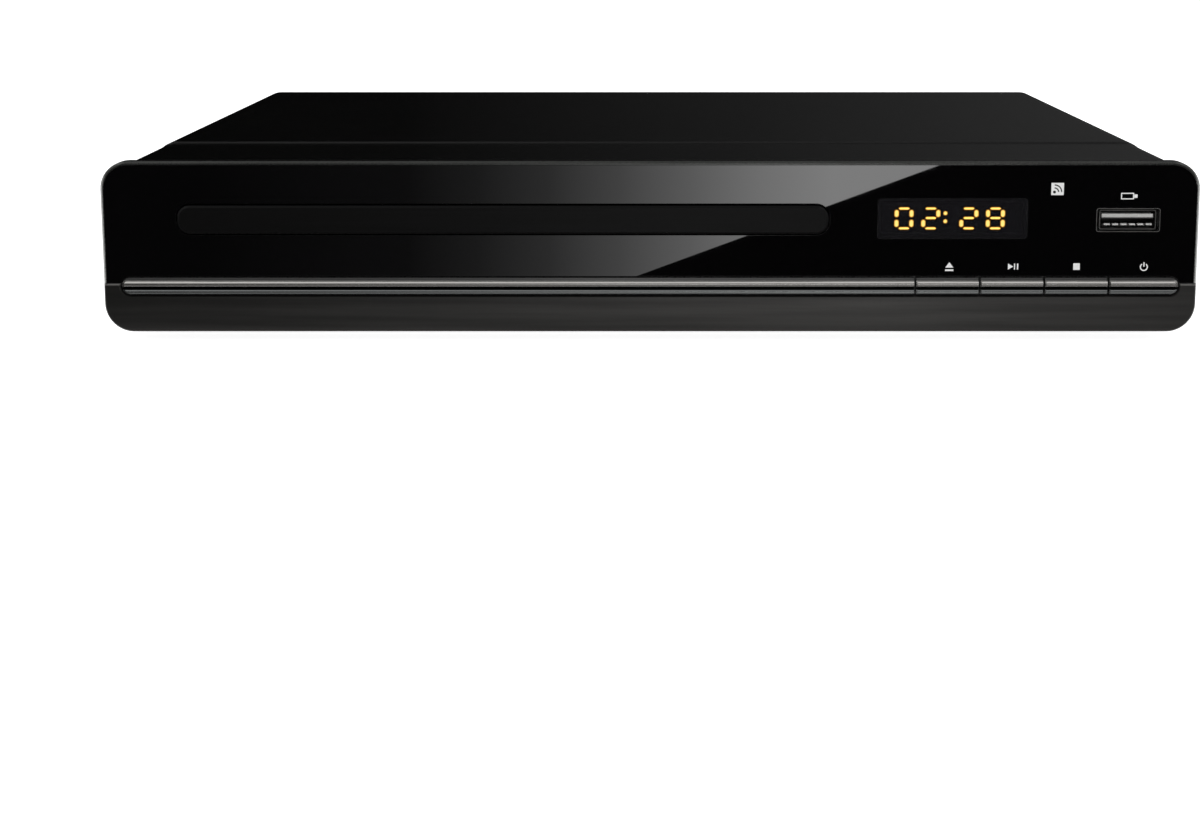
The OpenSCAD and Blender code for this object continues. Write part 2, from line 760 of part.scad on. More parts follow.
module display_module() {
    color([0.10, 0.09, 0.10]) {
        block(disp_x - module_w / 2, disp_x + module_w / 2, module_y0 + seg_t, wall_y1 + 1,
              disp_z - module_h / 2, disp_z + module_h / 2);
        block(disp_x - module_w / 2 - 2, disp_x + module_w / 2 + 2, wall_y1 + 0.3, board_y0 - 0.02,
              disp_z - module_h / 2 - 1, disp_z + module_h / 2 + 1);
    }
}

// Outline of one bar of a digit: a rectangle with its corners cut off
module segment2d(x, z, w, h) {
    cut = 0.22;
    a = w / 2;
    b = h / 2;
    translate([x, z]) polygon([
        [-a, cut - b], [cut - a, -b], [a - cut, -b], [a, cut - b],
        [a, b - cut], [a - cut, b], [cut - a, b], [-a, b - cut]
    ]);
}

module digit2d() {
    for (k = [-1, 0, 1]) segment2d(0, k * (dig_h - cross_h) / 2, cross_w, cross_h);
    for (i = [-1, 1], j = [-1, 1])
        segment2d(i * (dig_w - upright_w) / 2, j * (dig_h - cross_h) / 4, upright_w, upright_h);
}

module display_segments() {
    color([1, 0.75, 0.25]) along_y(module_y0, module_y0 + seg_t) {
        for (x = dig_xs) translate([x, dig_z]) digit2d();
        for (z = colon_zs) translate([colon_x, z]) circle(colon_r);
    }
}

module front_board() {
    color([0.10, 0.30, 0.16]) along_y(board_y0, board_y1) difference() {
        translate([main_x0, bez_z0 + 4.2]) square([skirt_w / 2 - skirt_t - 2 - main_x0, body_h - 8.8]);
        translate([usb_x, usb_z]) square([usb_w + 0.4, usb_h + 1], center = true);
        for (p = front_bosses) translate(p) circle(1.4);
    }
}

module tact_switches() {
    color([0.55, 0.55, 0.55]) for (i = [0:key_count - 1]) {
        block(key_mid(i) - switch_body / 2, key_mid(i) + switch_body / 2, switch_y0 + 1.2, board_y0 - 0.02,
              strip_z - switch_body / 2, strip_z + switch_body / 2);
        translate([key_mid(i), switch_y0, strip_z]) rotate([-90, 0, 0])
            cylinder(r = 1.6, h = 1.2 + eps);
    }
}

module usb_shell() {
    color([0.78, 0.78, 0.78]) difference() {
        along_y(usb_y0, usb_y0 + usb_len) round_rect(usb_x, usb_z, usb_w, usb_h, 0.6);
        along_y(usb_y0 - 1, usb_y0 + usb_len - 1)
            round_rect(usb_x, usb_z, usb_w - 2 * usb_wall, usb_h - 2 * usb_wall, 0.35);
        // spring windows in the floor and the roof
        for (s = [-1, 1], k = [-1, 1])
            block(usb_x + s * 3 - 1, usb_x + s * 3 + 1, usb_y0 + 2.5, usb_y0 + 6.5,
                  usb_z + k * usb_h / 2 - 0.6, usb_z + k * usb_h / 2 + 0.6);
    }
}

module usb_tongue() {
    low = usb_z + 0.2;
    color([0.80, 0.80, 0.78]) difference() {
        block(usb_x - 6.3, usb_x + 6.3, usb_y0 + 0.5, usb_y0 + usb_len - 1, low, low + 1.2);
        // grooves of the four contacts
        for (k = [-1.5:1:1.5]) translate([usb_x + k * 2.4, 0, 0])
            block(-0.55, 0.55, usb_y0 + 1, usb_y0 + 9, low - 0.2, low + 0.2);
    }
}

module ir_receiver() {
    color([0.06, 0.05, 0.06]) {
        block(ir_x - 2.9, ir_x + 2.9, wall_y1 + 0.3, board_y0 - 0.02, ir_z - 2.9, ir_z + 2.4);
        translate([ir_x, wall_y1 + 0.4, ir_z]) rotate([90, 0, 0]) {
            cylinder(r = 2.4, h = 1);
            translate([0, 0, 1]) intersection() {
                translate([0, 0, -2.4]) sphere(r = 3.4);
                cylinder(r = 2.4, h = 3);
            }
        }
    }
}

// ---- Drawer --------------------------------------------------------------

module tray_door() {
    color([0.06, 0.06, 0.06]) {
        hull() {
            along_y(door_y0, door_y0 + eps)
                round_rect(cx, door_z, door_w - 2 * door_edge, door_h - 2 * door_edge, door_r - door_edge);
            along_y(door_y0 + door_edge, door_y1) round_rect(cx, door_z, door_w, door_h, door_r);
        }
    }
}

module tray_cut(r, z0, z1) post(cx, cy, z0, z1, r);

module tray() {
    color([0.09, 0.09, 0.09]) {
        difference() {
            along_z(tray_z0, tray_z1) round_rect(cx, (tray_y0 + tray_y1) / 2, tray_w, tray_len, 2);
            // hollow underside around the bed
            difference() {
                along_z(tray_z0 - 1, deck_z0)
                    round_rect(cx, (tray_y0 + tray_y1) / 2, tray_w - 4, tray_len - 4, 1);
                post(cx, cy, tray_z0 - 2, deck_z0 + 1, disc_bed / 2 + 2);
            }
            block(tray_x0 + 2, tray_x1 - 2, tray_y0 + 2, tray_y1 + 1, tray_z0 - 1, pan_z0);
            // disc beds
            tray_cut(disc_bed / 2, pan_z1, tray_z1 + 1);
            tray_cut(small_bed / 2, pan_z1 - 0.8, tray_z1 + 1);
            // window for the turntable and the pickup
            tray_cut(window_r, tray_z0 - 1, tray_z1 + 1);
            block(cx - window_r, cx + window_r, cy, window_y1, tray_z0 - 1, tray_z1 + 1);
            // finger hollows beside the disc
            for (s = [-1, 1])
                along_z(pan_z1, tray_z1 + 1)
                    slot2d([cx + s * (disc_bed / 2 - 2), cy - 8], [cx + s * (disc_bed / 2 - 2), cy + 8], 9);
            // lowered deck behind the bed
            along_z(tray_z1 - 1.2, tray_z1 + 1)
                round_rect(cx, (window_y1 + 4 + tray_y1 - 6) / 2, tray_w - 24, tray_y1 - 10 - window_y1, 4);
        }
        // rack under the right side
        translate([rack_x, drive_y, tray_z0]) linear_extrude(deck_z0 + 0.2 - tray_z0)
            intersection() {
                rack2d(-12, tray_travel + 9, gear_m, 3.2);
                translate([-2, -30]) square([8, tray_len]);
            }
    }
}

// ---- Loader --------------------------------------------------------------

module loader_frame() {
    deck_z0f = deck_z1 - deck_t;
    color([0.14, 0.14, 0.14]) difference() {
        union() {
            // side walls with the drawer's rails
            for (s = [0, 1]) translate([cx, 0, 0]) mirror([s, 0, 0]) translate([-cx, 0, 0]) {
                block(frame_in1, frame_x1, frame_y0, frame_y1, floor_z1 + damper_h, bridge_z0);
                block(frame_in1 - ledge_w, frame_in1 + eps, frame_y0, frame_y1, ledge_z1 - 2, ledge_z1);
                for (y = [frame_y0 + 2, cy - 16, tray_y1 - 12])
                    block(frame_in1 - 3, frame_in1 + eps, y, y + 10, lip_z0, bridge_z0);
            }
            // front deck for the motor and the gears
            block(frame_x0, frame_x1, frame_y0, cy - 34.5, deck_z0f, deck_z1);
            block(frame_x0, frame_x1, frame_y0, frame_y0 + 2, deck_z0f, ledge_z1 - 1);
            post(drive_x, drive_y, deck_z1 - eps, gear_z1, post_r);
            post(drive_x, drive_y, deck_z1 - eps, drive_z0 - 0.1, 3);
            post(pulley_x, pulley_y, deck_z1 - eps, gear_z1, post_r);
            // rail of the cam slider
            block(frame_x0, frame_x1, cy - 34.5, cy - 28.6, cam_rail_z - 2, cam_rail_z);
            for (y = [cy - 33.8, cy - 30.2])
                block(frame_x0, frame_x1, y, y + 1, cam_rail_z - eps, cam_rail_z + 1.4);
            // rear deck and the back wall, which stops the drawer
            block(frame_x0, frame_x1, hinge_y + 4.5, frame_y1, deck_z0f, deck_z1);
            block(frame_x0, frame_x1, frame_y1 - 3, frame_y1, deck_z0f, tray_z1);
            // bearings of the traverse
            for (s = [-1, 1])
                block(cx + s * 38 - 2, cx + s * 38 + 2, hinge_y - 3.4, hinge_y + 5, deck_z0f, hinge_z + 3.2);
            // legs
            for (p = loader_posts) post(p[0], p[1], floor_z1 + damper_h, deck_z1, 4.2);
        }
        // motor seat and belt clearance in the deck
        post(motor_x, motor_y, deck_z0f - 1, deck_z1 + 1, 4.2);
        for (p = loader_posts) post(p[0], p[1], floor_z1, deck_z1 + 1, 1.6);
        translate([cx, hinge_y, hinge_z]) rotate([0, 90, 0])
            cylinder(r = post_r + run_gap, h = 90, center = true);
        // lightening windows in the side walls
        for (x = [frame_x0, frame_in1], k = [0:3])
            translate([x - 1, cy - 14 + k * 26, floor_z1 + 6]) cube([frame_wall + 2, 18, 9]);
    }
}

module cam_slider() {
    color([0.85, 0.85, 0.83]) difference() {
        union() {
            block(cx - 44, cx + 24, cam_y0, cam_y1, cam_rail_z + 0.3, cam_pin_high + 3.5);
            // foot that runs in the rail
            block(cx - 50, cx + 24, cam_y0, cam_y1, cam_rail_z + 0.3, cam_rail_z + 3);
        }
        for (x = cam_pin_xs) along_y(cam_y0 - 1, cam_y1 + 1) {
            slot2d([x, cam_pin_low], [x - cam_travel, cam_pin_high], pin_r + 0.3);
        }
    }
}

module clamp_bridge() {
    y0 = cy - 24;
    y1 = cy + 24;
    z1 = bridge_z0 + 1.2;
    color([0.60, 0.61, 0.62]) difference() {
        union() {
            block(frame_x0, frame_x1, y0, y1, bridge_z0 + 0.02, z1);
            for (y = [y0, y1 - 1]) block(frame_x0 + 8, frame_x1 - 8, y, y + 1, bridge_z0 + 0.02, z1 + 2.4);
        }
        post(cx, cy, bridge_z0 - 1, z1 + 1, clamp_dia / 2 - 2.2);
        for (s = [-1, 1]) {
            post(cx + s * 34, cy, bridge_z0 - 1, z1 + 1, 8);
            for (y = [y0 + 7, y1 - 7]) post(cx + s * (tray_w / 2 + 2), y, bridge_z0 - 1, z1 + 1, 1.4);
        }
    }
}

module clamp_puck() {
    z0 = lip_z0 + 0.1;
    collar_z = bridge_z0 + 1.5;
    color([0.12, 0.12, 0.12]) difference() {
        union() {
            post(cx, cy, z0, collar_z + 1.2, clamp_dia / 2 - 2.8);
            post(cx, cy, collar_z, collar_z + 1.4, clamp_dia / 2);
            post(cx, cy, collar_z, collar_z + 2.4, 9);
        }
        post(cx, cy, z0 - 1, z0 + 2.4, 8.6);
        for (a = [0:60:300]) rotate_about(cx, cy, a)
            block(cx + 10.2, cx + 12.8, cy - 1, cy + 1, collar_z + 0.8, collar_z + 3);
    }
}

module rotate_about(x, y, a) {
    translate([x, y, 0]) rotate(a) translate([-x, -y, 0]) children();
}

module loading_motor() {
    z1 = deck_z1 - deck_t - 0.02;
    color([0.66, 0.67, 0.68]) {
        post(motor_x, motor_y, skirt_z0 + skirt_t + 0.4, z1, 11);
        post(motor_x, motor_y, z1 - eps, deck_z1 - 0.3, 4);
        post(motor_x, motor_y, z1, belt_z + 2.4, 1);
    }
}

// A flanged pulley for the flat belt
module pulley(x, y, r) {
    post(x, y, belt_z - belt_t, belt_z + belt_t, r);
    for (s = [-1, 1]) translate([x, y, belt_z + s * (belt_t + 0.2)])
        cylinder(r = r + 1.6, h = 0.6, center = true);
}

module motor_pulley() {
    color([0.80, 0.80, 0.78]) difference() {
        union() {
            post(motor_x, motor_y, deck_z1 + 0.2, belt_z + 2.2, motor_pulley_r - 0.8);
            pulley(motor_x, motor_y, motor_pulley_r);
        }
        post(motor_x, motor_y, deck_z1, belt_z + 3, 1 + run_gap);
    }
}

// Outline of a belt that runs at the given distance from both pulleys
module belt2d(gap) {
    big = pulley_dia / 2 + gap;
    small = motor_pulley_r + gap;
    polygon([
        for (i = [0:belt_steps]) let (a = (90 + belt_lean) * (2 * i / belt_steps - 1))
            [pulley_x + big * cos(a), motor_y + big * sin(a)],
        for (i = [0:belt_steps]) let (a = 180 + (90 - belt_lean) * (2 * i / belt_steps - 1))
            [motor_x + small * cos(a), motor_y + small * sin(a)]
    ]);
}

module drive_belt() {
    color([0.05, 0.05, 0.05]) along_z(belt_z - belt_t / 2, belt_z + belt_t / 2) difference() {
        belt2d(belt_gap + belt_t);
        belt2d(belt_gap);
    }
}

module pulley_gear() {
    color([0.88, 0.88, 0.86]) difference() {
        union() {
            translate([pulley_x, pulley_y, 0]) along_z(belt_z + 1.6, gear_z1)
                rotate(180 / pulley_teeth) gear2d(pulley_teeth, gear_m);
            pulley(pulley_x, pulley_y, pulley_dia / 2);
            post(pulley_x, pulley_y, deck_z1 + 0.2, belt_z, 3);
        }
        post(pulley_x, pulley_y, deck_z1, gear_z1 + 1, post_r + run_gap);
    }
}

module drive_gear() {
    color([0.88, 0.88, 0.86]) difference() {
        translate([drive_x, drive_y, 0]) along_z(drive_z0, gear_z1) gear2d(drive_teeth, gear_m);
        post(drive_x, drive_y, drive_z0 - 1, gear_z1 + 1, post_r + run_gap);
        for (a = [0:60:300]) rotate_about(drive_x, drive_y, a + 30)
            post(drive_x + 6.4, drive_y, drive_z0 - 1, gear_z1 + 1, 1.9);
    }
}

module loader_dampers() {
    color([0.08, 0.08, 0.08]) for (p = loader_posts) difference() {
        post(p[0], p[1], floor_z1, floor_z1 + damper_h - 0.02, 4.5);
        post(p[0], p[1], floor_z1 - 1, floor_z1 + damper_h + 1, 1.8);
    }
}

module inner_screws() {
    color([0.70, 0.70, 0.70]) {
        for (p = loader_posts) translate([p[0], p[1], deck_z1 + 0.02]) screw(deck_z1 - floor_z1 + 0.2);
        for (p = concat(main_posts, power_posts)) translate([p[0], p[1], board_z1 + 0.02])
            screw(4, 1.3, 2.4, 1.6);
        for (s = [-1, 1], y = [cy - 17, cy + 17])
            translate([cx + s * (tray_w / 2 + 2), y, bridge_z0 + 1.22]) screw(1.2, 1.3, 1.9, 1.6);
        for (p = front_bosses) translate([p[0], board_y1 + 0.02, p[1]]) rotate([-90, 0, 0])
            screw(4, 1.2, 2.2, 1.5);
    }
}

// ---- Traverse ------------------------------------------------------------

module traverse_frame() {
    color([0.50, 0.51, 0.52]) lowered() difference() {
        union() {
            block(trav_x0, trav_x1, trav_y0, trav_y1, plate_z0, plate_z1);
            // ribs
            block(trav_x0, trav_x1, trav_y0, trav_y0 + 2.5, rib_z0, plate_z0 + eps);
            block(trav_x1 - 2.5, trav_x1, trav_y0, trav_y1, rib_z0, plate_z0 + eps);
            block(trav_x0, trav_x0 + 2.5, trav_y0, trav_y1, rib_z0, plate_z0 + eps);
            // clips of the guide rods
            for (s = [-1, 1], y = [rod_y0 - 0.5, rod_y1 - 3.5])
                block(cx + s * rod_x - 3, cx + s * rod_x + 3, y, y + 4, rod_z - 3, plate_z0 + eps);
            // arms and pins of the hinge
            for (s = [-1, 1]) {
                block(cx + s * 31 - 2, cx + s * 31 + 2, trav_y1 - 8, hinge_y + 3, hinge_z - 3, plate_z1);
                translate([cx + s * 37, hinge_y, hinge_z]) rotate([0, 90, 0])
                    cylinder(r = post_r, h = 10, center = true);
            }
            // pins that ride in the cam slots
            for (x = cam_pin_xs) translate([x, trav_y0 + 1, lift_pin_z]) rotate([90, 0, 0])
                cylinder(r = pin_r, h = 6.3);
            // post of the sled gear
            post(sled_gear_x, sled_gear_y, plate_z1 - eps, sled_small_z1, 1);
        }
        // window for the pickup
        block(cx - 25, cx + 25, cy + 14, cy + 82, rib_z0 - 1, plate_z1 + 1);
        post(cx, cy, plate_z0 - 1, plate_z1 + 1, 9);
        for (s = [-1, 1]) translate([cx + s * rod_x, cy + 50, rod_z]) rotate([90, 0, 0])
            cylinder(r = rod_dia / 2 + 0.02, h = 90, center = true);
        post(sled_gear_x, sled_motor_y, plate_z0 - 1, plate_z1 + 1, sled_motor_r + 0.9);
    }
}

module guide_rods() {
    color([0.80, 0.81, 0.82]) lowered() for (s = [-1, 1])
        translate([cx + s * rod_x, rod_y0, rod_z]) rotate([-90, 0, 0])
            cylinder(r = rod_dia / 2, h = rod_y1 - rod_y0);
}

module spindle_motor() {
    color([0.66, 0.67, 0.68]) lowered() difference() {
        union() {
            post(cx, cy, plate_z0 - 8.5, plate_z0 - 0.02, 12.5);
            post(cx, cy, plate_z0 - 0.1, plate_z1 + 1.2, 8.8);
        }
        post(cx, cy, plate_z0 - 6, plate_z1 + 2, 1.05);
    }
}

module turntable() {
    color([0.16, 0.16, 0.16]) lowered() {
        post(cx, cy, plate_z0 - 5, table_z - 1, 1);
        difference() {
            union() {
                post(cx, cy, table_z - 3.4, table_z - 0.5, table_dia / 2);
                post(cx, cy, table_z - 0.6, table_z, 7.45);
                translate([cx, cy, table_z - eps]) cylinder(r1 = 7.45, r2 = 6.2, h = 1.8);
            }
            post(cx, cy, table_z - 4, table_z - 2.4, 11);
            // three spring slots of the centring cone
            for (a = [0:120:240]) rotate_about(cx, cy, a)
                block(cx + 5, cx + 8, cy - 0.6, cy + 0.6, table_z + 0.2, table_z + 3);
        }
    }
}

module turntable_pad() {
    color([0.05, 0.05, 0.05]) lowered() difference() {
        post(cx, cy, table_z - 0.5, table_z, table_dia / 2 - 0.2);
        post(cx, cy, table_z - 1, table_z + 1, 9);
    }
}

module pickup_body() {
    y0 = lens_y - 10;
    y1 = lens_y + 12;
    z1 = plate_z1 + 2;
    color([0.55, 0.56, 0.57]) lowered() difference() {
        union() {
            block(cx - 17, cx + 17, y0, y1, plate_z0 - 7, z1);
            for (s = [-1, 1], rib = [[rod_x, 3.6], [17, 1]])
                block(cx + s * rib[0] - rib[1], cx + s * rib[0] + rib[1], y0, y1,
                      rod_z - 3, plate_z0 - 0.3);
            // arm and rack beside the pickup, above the gear
            block(sled_rack_x + 1, cx - 16, lens_y - 4, lens_y + 4, sled_small_z0 + 0.1, sled_small_z1);
            translate([sled_rack_x, sled_gear_y, sled_small_z0 + 0.1])
                linear_extrude(sled_small_z1 - sled_small_z0 - 0.1)
                rack2d(-(sled_travel + 5), 5, sled_m, 2.6, 0.14, 0.66);
        }
        // pocket of the lens holder
        block(cx - 6.5, cx + 6.5, lens_y - 5.5, lens_y + 5.5, z1 - 4.6, z1 + 1);
        for (s = [-1, 1]) translate([cx + s * rod_x, lens_y, rod_z]) rotate([90, 0, 0])
            cylinder(r = rod_dia / 2 + run_gap, h = 60, center = true);
    }
}

module pickup_lens() {
    z1 = plate_z1 + 2;
    color([0.10, 0.10, 0.14]) lowered() {
        block(cx - 6, cx + 6, lens_y - 5, lens_y + 5, z1 - 4.1, z1 + 0.6);
        post(cx, lens_y, z1 + 0.6 - eps, z1 + 1.4, 3.2);
        translate([cx, lens_y, z1 + 0.4]) intersection() {
            translate([0, 0, -1.9]) sphere(r = 3.6);
            cylinder(r = 2.4, h = 4);
        }
    }
}

module sled_motor() {
    color([0.66, 0.67, 0.68]) lowered() {
        post(sled_gear_x, sled_motor_y, plate_z0 - 8, plate_z0 - 0.02, 5.5);
    }
}

module sled_pinion() {
    color([0.88, 0.88, 0.86]) lowered() {
        translate([sled_gear_x, sled_motor_y, 0]) along_z(plate_z0 + 0.2, sled_small_z0 - 0.1)
            rotate(90 + 180 / sled_motor_teeth * (1 - sled_big_teeth % 2)) gear2d(sled_motor_teeth, sled_m);
    }
}

module sled_gear() {
    color([0.88, 0.88, 0.86]) lowered() difference() {
        translate([sled_gear_x, sled_gear_y, 0]) {
            along_z(sled_big_z0, sled_small_z0) rotate(-90) gear2d(sled_big_teeth, sled_m);
            along_z(sled_small_z0 - eps, sled_small_z1) gear2d(sled_small_teeth, sled_m);
        }
        post(sled_gear_x, sled_gear_y, sled_big_z0 - 1, sled_small_z1 + 1, 1 + run_gap);
    }
}

// ---- Boards and the back -------------------------------------------------

module board(x0, x1, y0, y1, posts) {
    difference() {
        block(x0, x1, y0, y1, board_z0 + 0.02, board_z1);
        for (p = posts) post(p[0], p[1], board_z0 - 1, board_z1 + 1, 1.6);
    }
}

module main_board() {
    color([0.10, 0.32, 0.17]) {
        board(main_x0, main_x1, main_y0, main_y1, main_posts);
        // memory, crystal and connectors
        block(jack_x - 20, jack_x - 12, main_y0 + 46, main_y0 + 62, board_z1 - eps, board_z1 + 1.2);
        block(jack_x + 14, jack_x + 18, main_y0 + 40, main_y0 + 50, board_z1 - eps, board_z1 + 2.4);
        block(main_x0 + 1, main_x0 + 6, main_y0 + 18, main_y0 + 36, board_z1 - eps, board_z1 + 4);
        block(jack_x - 8, jack_x + 8, main_y0 + 1, main_y0 + 5, board_z1 - eps, board_z1 + 3.2);
    }
}

module decoder_chip() {
    color([0.06, 0.06, 0.06]) translate([jack_x, chip_y, board_z1 + 0.02])
        translate([-9, -9, 0]) cube([18, 18, 1.4]);
}

module fin_block(w, d, h, fins) {
    base = 1.6;
    fin_t = 1;
    translate([-w / 2, -d / 2, 0]) cube([w, d, base]);
    for (k = [0:fins - 1])
        translate([-w / 2 + k * (w - fin_t) / (fins - 1), -d / 2, base - eps]) cube([fin_t, d, h - base]);
}

module heat_sinks() {
    color([0.75, 0.76, 0.77]) {
        translate([jack_x, chip_y, board_z1 + 1.44]) fin_block(22, 22, 9, 7);
        translate([power_x0 + 5, power_y0 + 74, board_z1 + 0.02]) rotate([90, 0, 90]) translate([0, 8, 0]) {
            translate([-10, -8, 0]) cube([20, 17, 1.6]);
            for (x = [-10, 9]) translate([x, -8, 0]) cube([1, 17, 5]);
        }
    }
}

module can(x, y, r, h) {
    post(x, y, board_z1 + 0.02, board_z1 + h, r);
}

module capacitors() {
    color([0.10, 0.12, 0.30]) {
        can(inlet_x + 3, power_y0 + 62, 7, 20);
        can(power_x0 + 8, power_y0 + 18, 4, 13);
        can(power_x0 + 18, power_y0 + 18, 4, 13);
        can(jack_x + 16, main_y0 + 22, 3.2, 9);
        can(jack_x + 16, main_y0 + 30, 3.2, 9);
        can(jack_x - 17, main_y0 + 82, 2.6, 7);
        can(jack_x - 10, main_y0 + 82, 2.6, 7);
    }
}

module power_board() {
    color([0.55, 0.42, 0.20]) {
        board(power_x0, power_x1, power_y0, power_y1, power_posts);
        block(power_x0 + 3, power_x0 + 8, power_y1 - 58, power_y1 - 38, board_z1 - eps, board_z1 + 6);
        block(power_x0 + 9, power_x0 + 22, power_y0 + 1, power_y0 + 6, board_z1 - eps, board_z1 + 5);
    }
}

module transformer() {
    x = inlet_x;
    y = power_y0 + 40;
    color([0.70, 0.55, 0.15]) {
        block(x - 11, x + 11, y - 10, y + 10, board_z1 + 0.02, board_z1 + 3);
        block(x - 8, x + 8, y - 8, y + 8, board_z1 + 3 - eps, board_z1 + 15);
        block(x - 11, x + 11, y - 5, y + 5, board_z1 + 3 - eps, board_z1 + 18);
    }
}

// Outline of a two-pole inlet: two lobes side by side
module inlet2d(grow = 0) {
    slot2d([inlet_x - 3.6, inlet_z], [inlet_x + 3.6, inlet_z], 3.1 + grow);
    for (s = [-1, 1]) translate([inlet_x + s * 4.2, inlet_z]) circle(4 + grow);
}

module power_inlet() {
    color([0.07, 0.07, 0.07]) difference() {
        union() {
            block(inlet_x - inlet_w / 2, inlet_x + inlet_w / 2, back_y0 - 18, rear_y + 0.4,
                  inlet_z - inlet_h / 2, inlet_z + inlet_h / 2);
            block(inlet_x - 8, inlet_x + 8, back_y0 - 16, back_y0 - 4, board_z1 + 0.02, inlet_z);
            block(inlet_x - inlet_w / 2 - 1.6, inlet_x + inlet_w / 2 + 1.6, back_y1, rear_y + 0.4,
                  inlet_z - inlet_h / 2 - 1.6, inlet_z + inlet_h / 2 + 1.6);
        }
        along_y(rear_y - 11, rear_y + 2) inlet2d();
    }
}

module inlet_pins() {
    color([0.80, 0.78, 0.70]) for (s = [-1, 1])
        translate([inlet_x + s * 4.3, rear_y - 11, inlet_z]) rotate([-90, 0, 0]) cylinder(r = 1.2, h = 9);
}

// Puts a shape that is drawn along +Z from y = 0 on the axis of jack k
module at_jack(k) {
    translate([jack_x + k * jack_pitch, 0, jack_z]) rotate([-90, 0, 0]) children();
}

module av_jack_block() {
    w = 2 * jack_pitch + 13;
    color([0.06, 0.06, 0.06]) difference() {
        block(jack_x - w / 2, jack_x + w / 2, back_y0 - 12, back_y0 - 0.05, board_z1 + 0.02, jack_z + 6);
        for (k = [-1:1]) at_jack(k) post(0, 0, jack_y0 - 0.5, back_y0 + 1, jack_neck_r + jack_fit);
    }
}

// Coloured insulator of a jack: a ring around the sleeve and a core inside it
module jack_insulator(k) {
    core_r = jack_neck_r - jack_fit;
    at_jack(k) {
        difference() {
            post(0, 0, back_y0 - jack_fit, jack_free_y - 0.1, ring_r);
            post(0, 0, back_y0 - 1, jack_free_y + 1, jack_neck_r + jack_fit);
        }
        difference() {
            union() {
                post(0, 0, jack_y0, jack_free_y + jack_wall + 1, core_r - jack_wall);
                post(0, 0, jack_free_y + jack_wall + jack_fit, jack_y1 - 1.2, core_r);
            }
            post(0, 0, jack_y0 + 4, jack_y1, jack_bore_r);
        }
    }
}

module yellow_ring() color([0.95, 0.80, 0.10]) jack_insulator(-1);
module white_ring() color([0.92, 0.92, 0.90]) jack_insulator(0);
module red_ring() color([0.80, 0.08, 0.06]) jack_insulator(1);

// Sleeves of the jacks: a wide free end on a narrow neck that sits in the block
module av_jack_shells() {
    color([0.82, 0.82, 0.80]) for (k = [-1:1]) at_jack(k) difference() {
        union() {
            post(0, 0, jack_y0, jack_free_y + eps, jack_neck_r);
            post(0, 0, jack_free_y, jack_y1, jack_dia / 2);
        }
        post(0, 0, jack_y0 - 1, jack_y1, jack_neck_r - jack_wall);
        post(0, 0, jack_free_y + jack_wall, jack_y1 + 1, jack_dia / 2 - jack_wall);
    }
}

// A flat ribbon of thickness t whose middle line is a smooth bend from a to b
module ribbon2d(a, pull_a, pull_b, b, t = 0.3) {
    line = [for (i = [0:ribbon_steps]) let (u = i / ribbon_steps, v = 1 - u)
        v * v * v * a + 3 * v * v * u * pull_a + 3 * v * u * u * pull_b + u * u * u * b];
    // unit normals of the bend, from its derivative
    side = [for (i = [0:ribbon_steps]) let (u = i / ribbon_steps, v = 1 - u,
        d = v * v * (pull_a - a) + 2 * v * u * (pull_b - pull_a) + u * u * (b - pull_b))
        [-d[1], d[0]] / norm(d) * t / 2];
    polygon(concat([for (i = [0:ribbon_steps]) line[i] + side[i]],
                   [for (i = [ribbon_steps:-1:0]) line[i] - side[i]]));
}

module ribbon_cables() {
    front_z = bez_z0 + 9;
    low_z = board_z1 + 3.4;
    side_z = board_z1 + 4.2;
    color([0.86, 0.85, 0.80]) {
        // front board to main board
        along_x(jack_x - 7, jack_x + 7)
            ribbon2d([board_y1 + 0.02, front_z], [board_y1 + 10, front_z],
                     [main_y0 - 4, low_z + 12], [main_y0 + 3, low_z + 0.1]);
        // loader to main board
        along_y(main_y0 + 20, main_y0 + 34)
            ribbon2d([frame_x1 + 0.25, floor_z1 + 6], [frame_x1 + 0.25, side_z + 10],
                     [frame_x1 + 2, side_z + 4], [main_x0 + 3, side_z]);
    }
}

// ---- Drawing -------------------------------------------------------------

top_cover();
bottom_chassis();
rear_panel();
rubber_feet();
case_screws();
front_bezel();
gloss_panel();
lower_fascia();
trim_bar();
display_window();
display_module();
display_segments();
front_board();
tact_switches();
usb_shell();
usb_tongue();
ir_receiver();
eject_button();
play_button();
stop_button();
power_button();
tray();
tray_door();
loader_frame();
loader_dampers();
inner_screws();
clamp_bridge();
clamp_puck();
loading_motor();
motor_pulley();
drive_belt();
pulley_gear();
drive_gear();
cam_slider();
traverse_frame();
guide_rods();
spindle_motor();
turntable();
turntable_pad();
pickup_body();
pickup_lens();
sled_motor();
sled_pinion();
sled_gear();
main_board();
decoder_chip();
heat_sinks();
capacitors();
power_board();
transformer();
power_inlet();
inlet_pins();
av_jack_block();
av_jack_shells();
yellow_ring();
white_ring();
red_ring();
ribbon_cables();
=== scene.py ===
"""Looks of a slim disc player with a motorised drawer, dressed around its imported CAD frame.

Metres, in the frame's own axes: X to the right seen from the front, Y to the back, Z up.
"""

import math

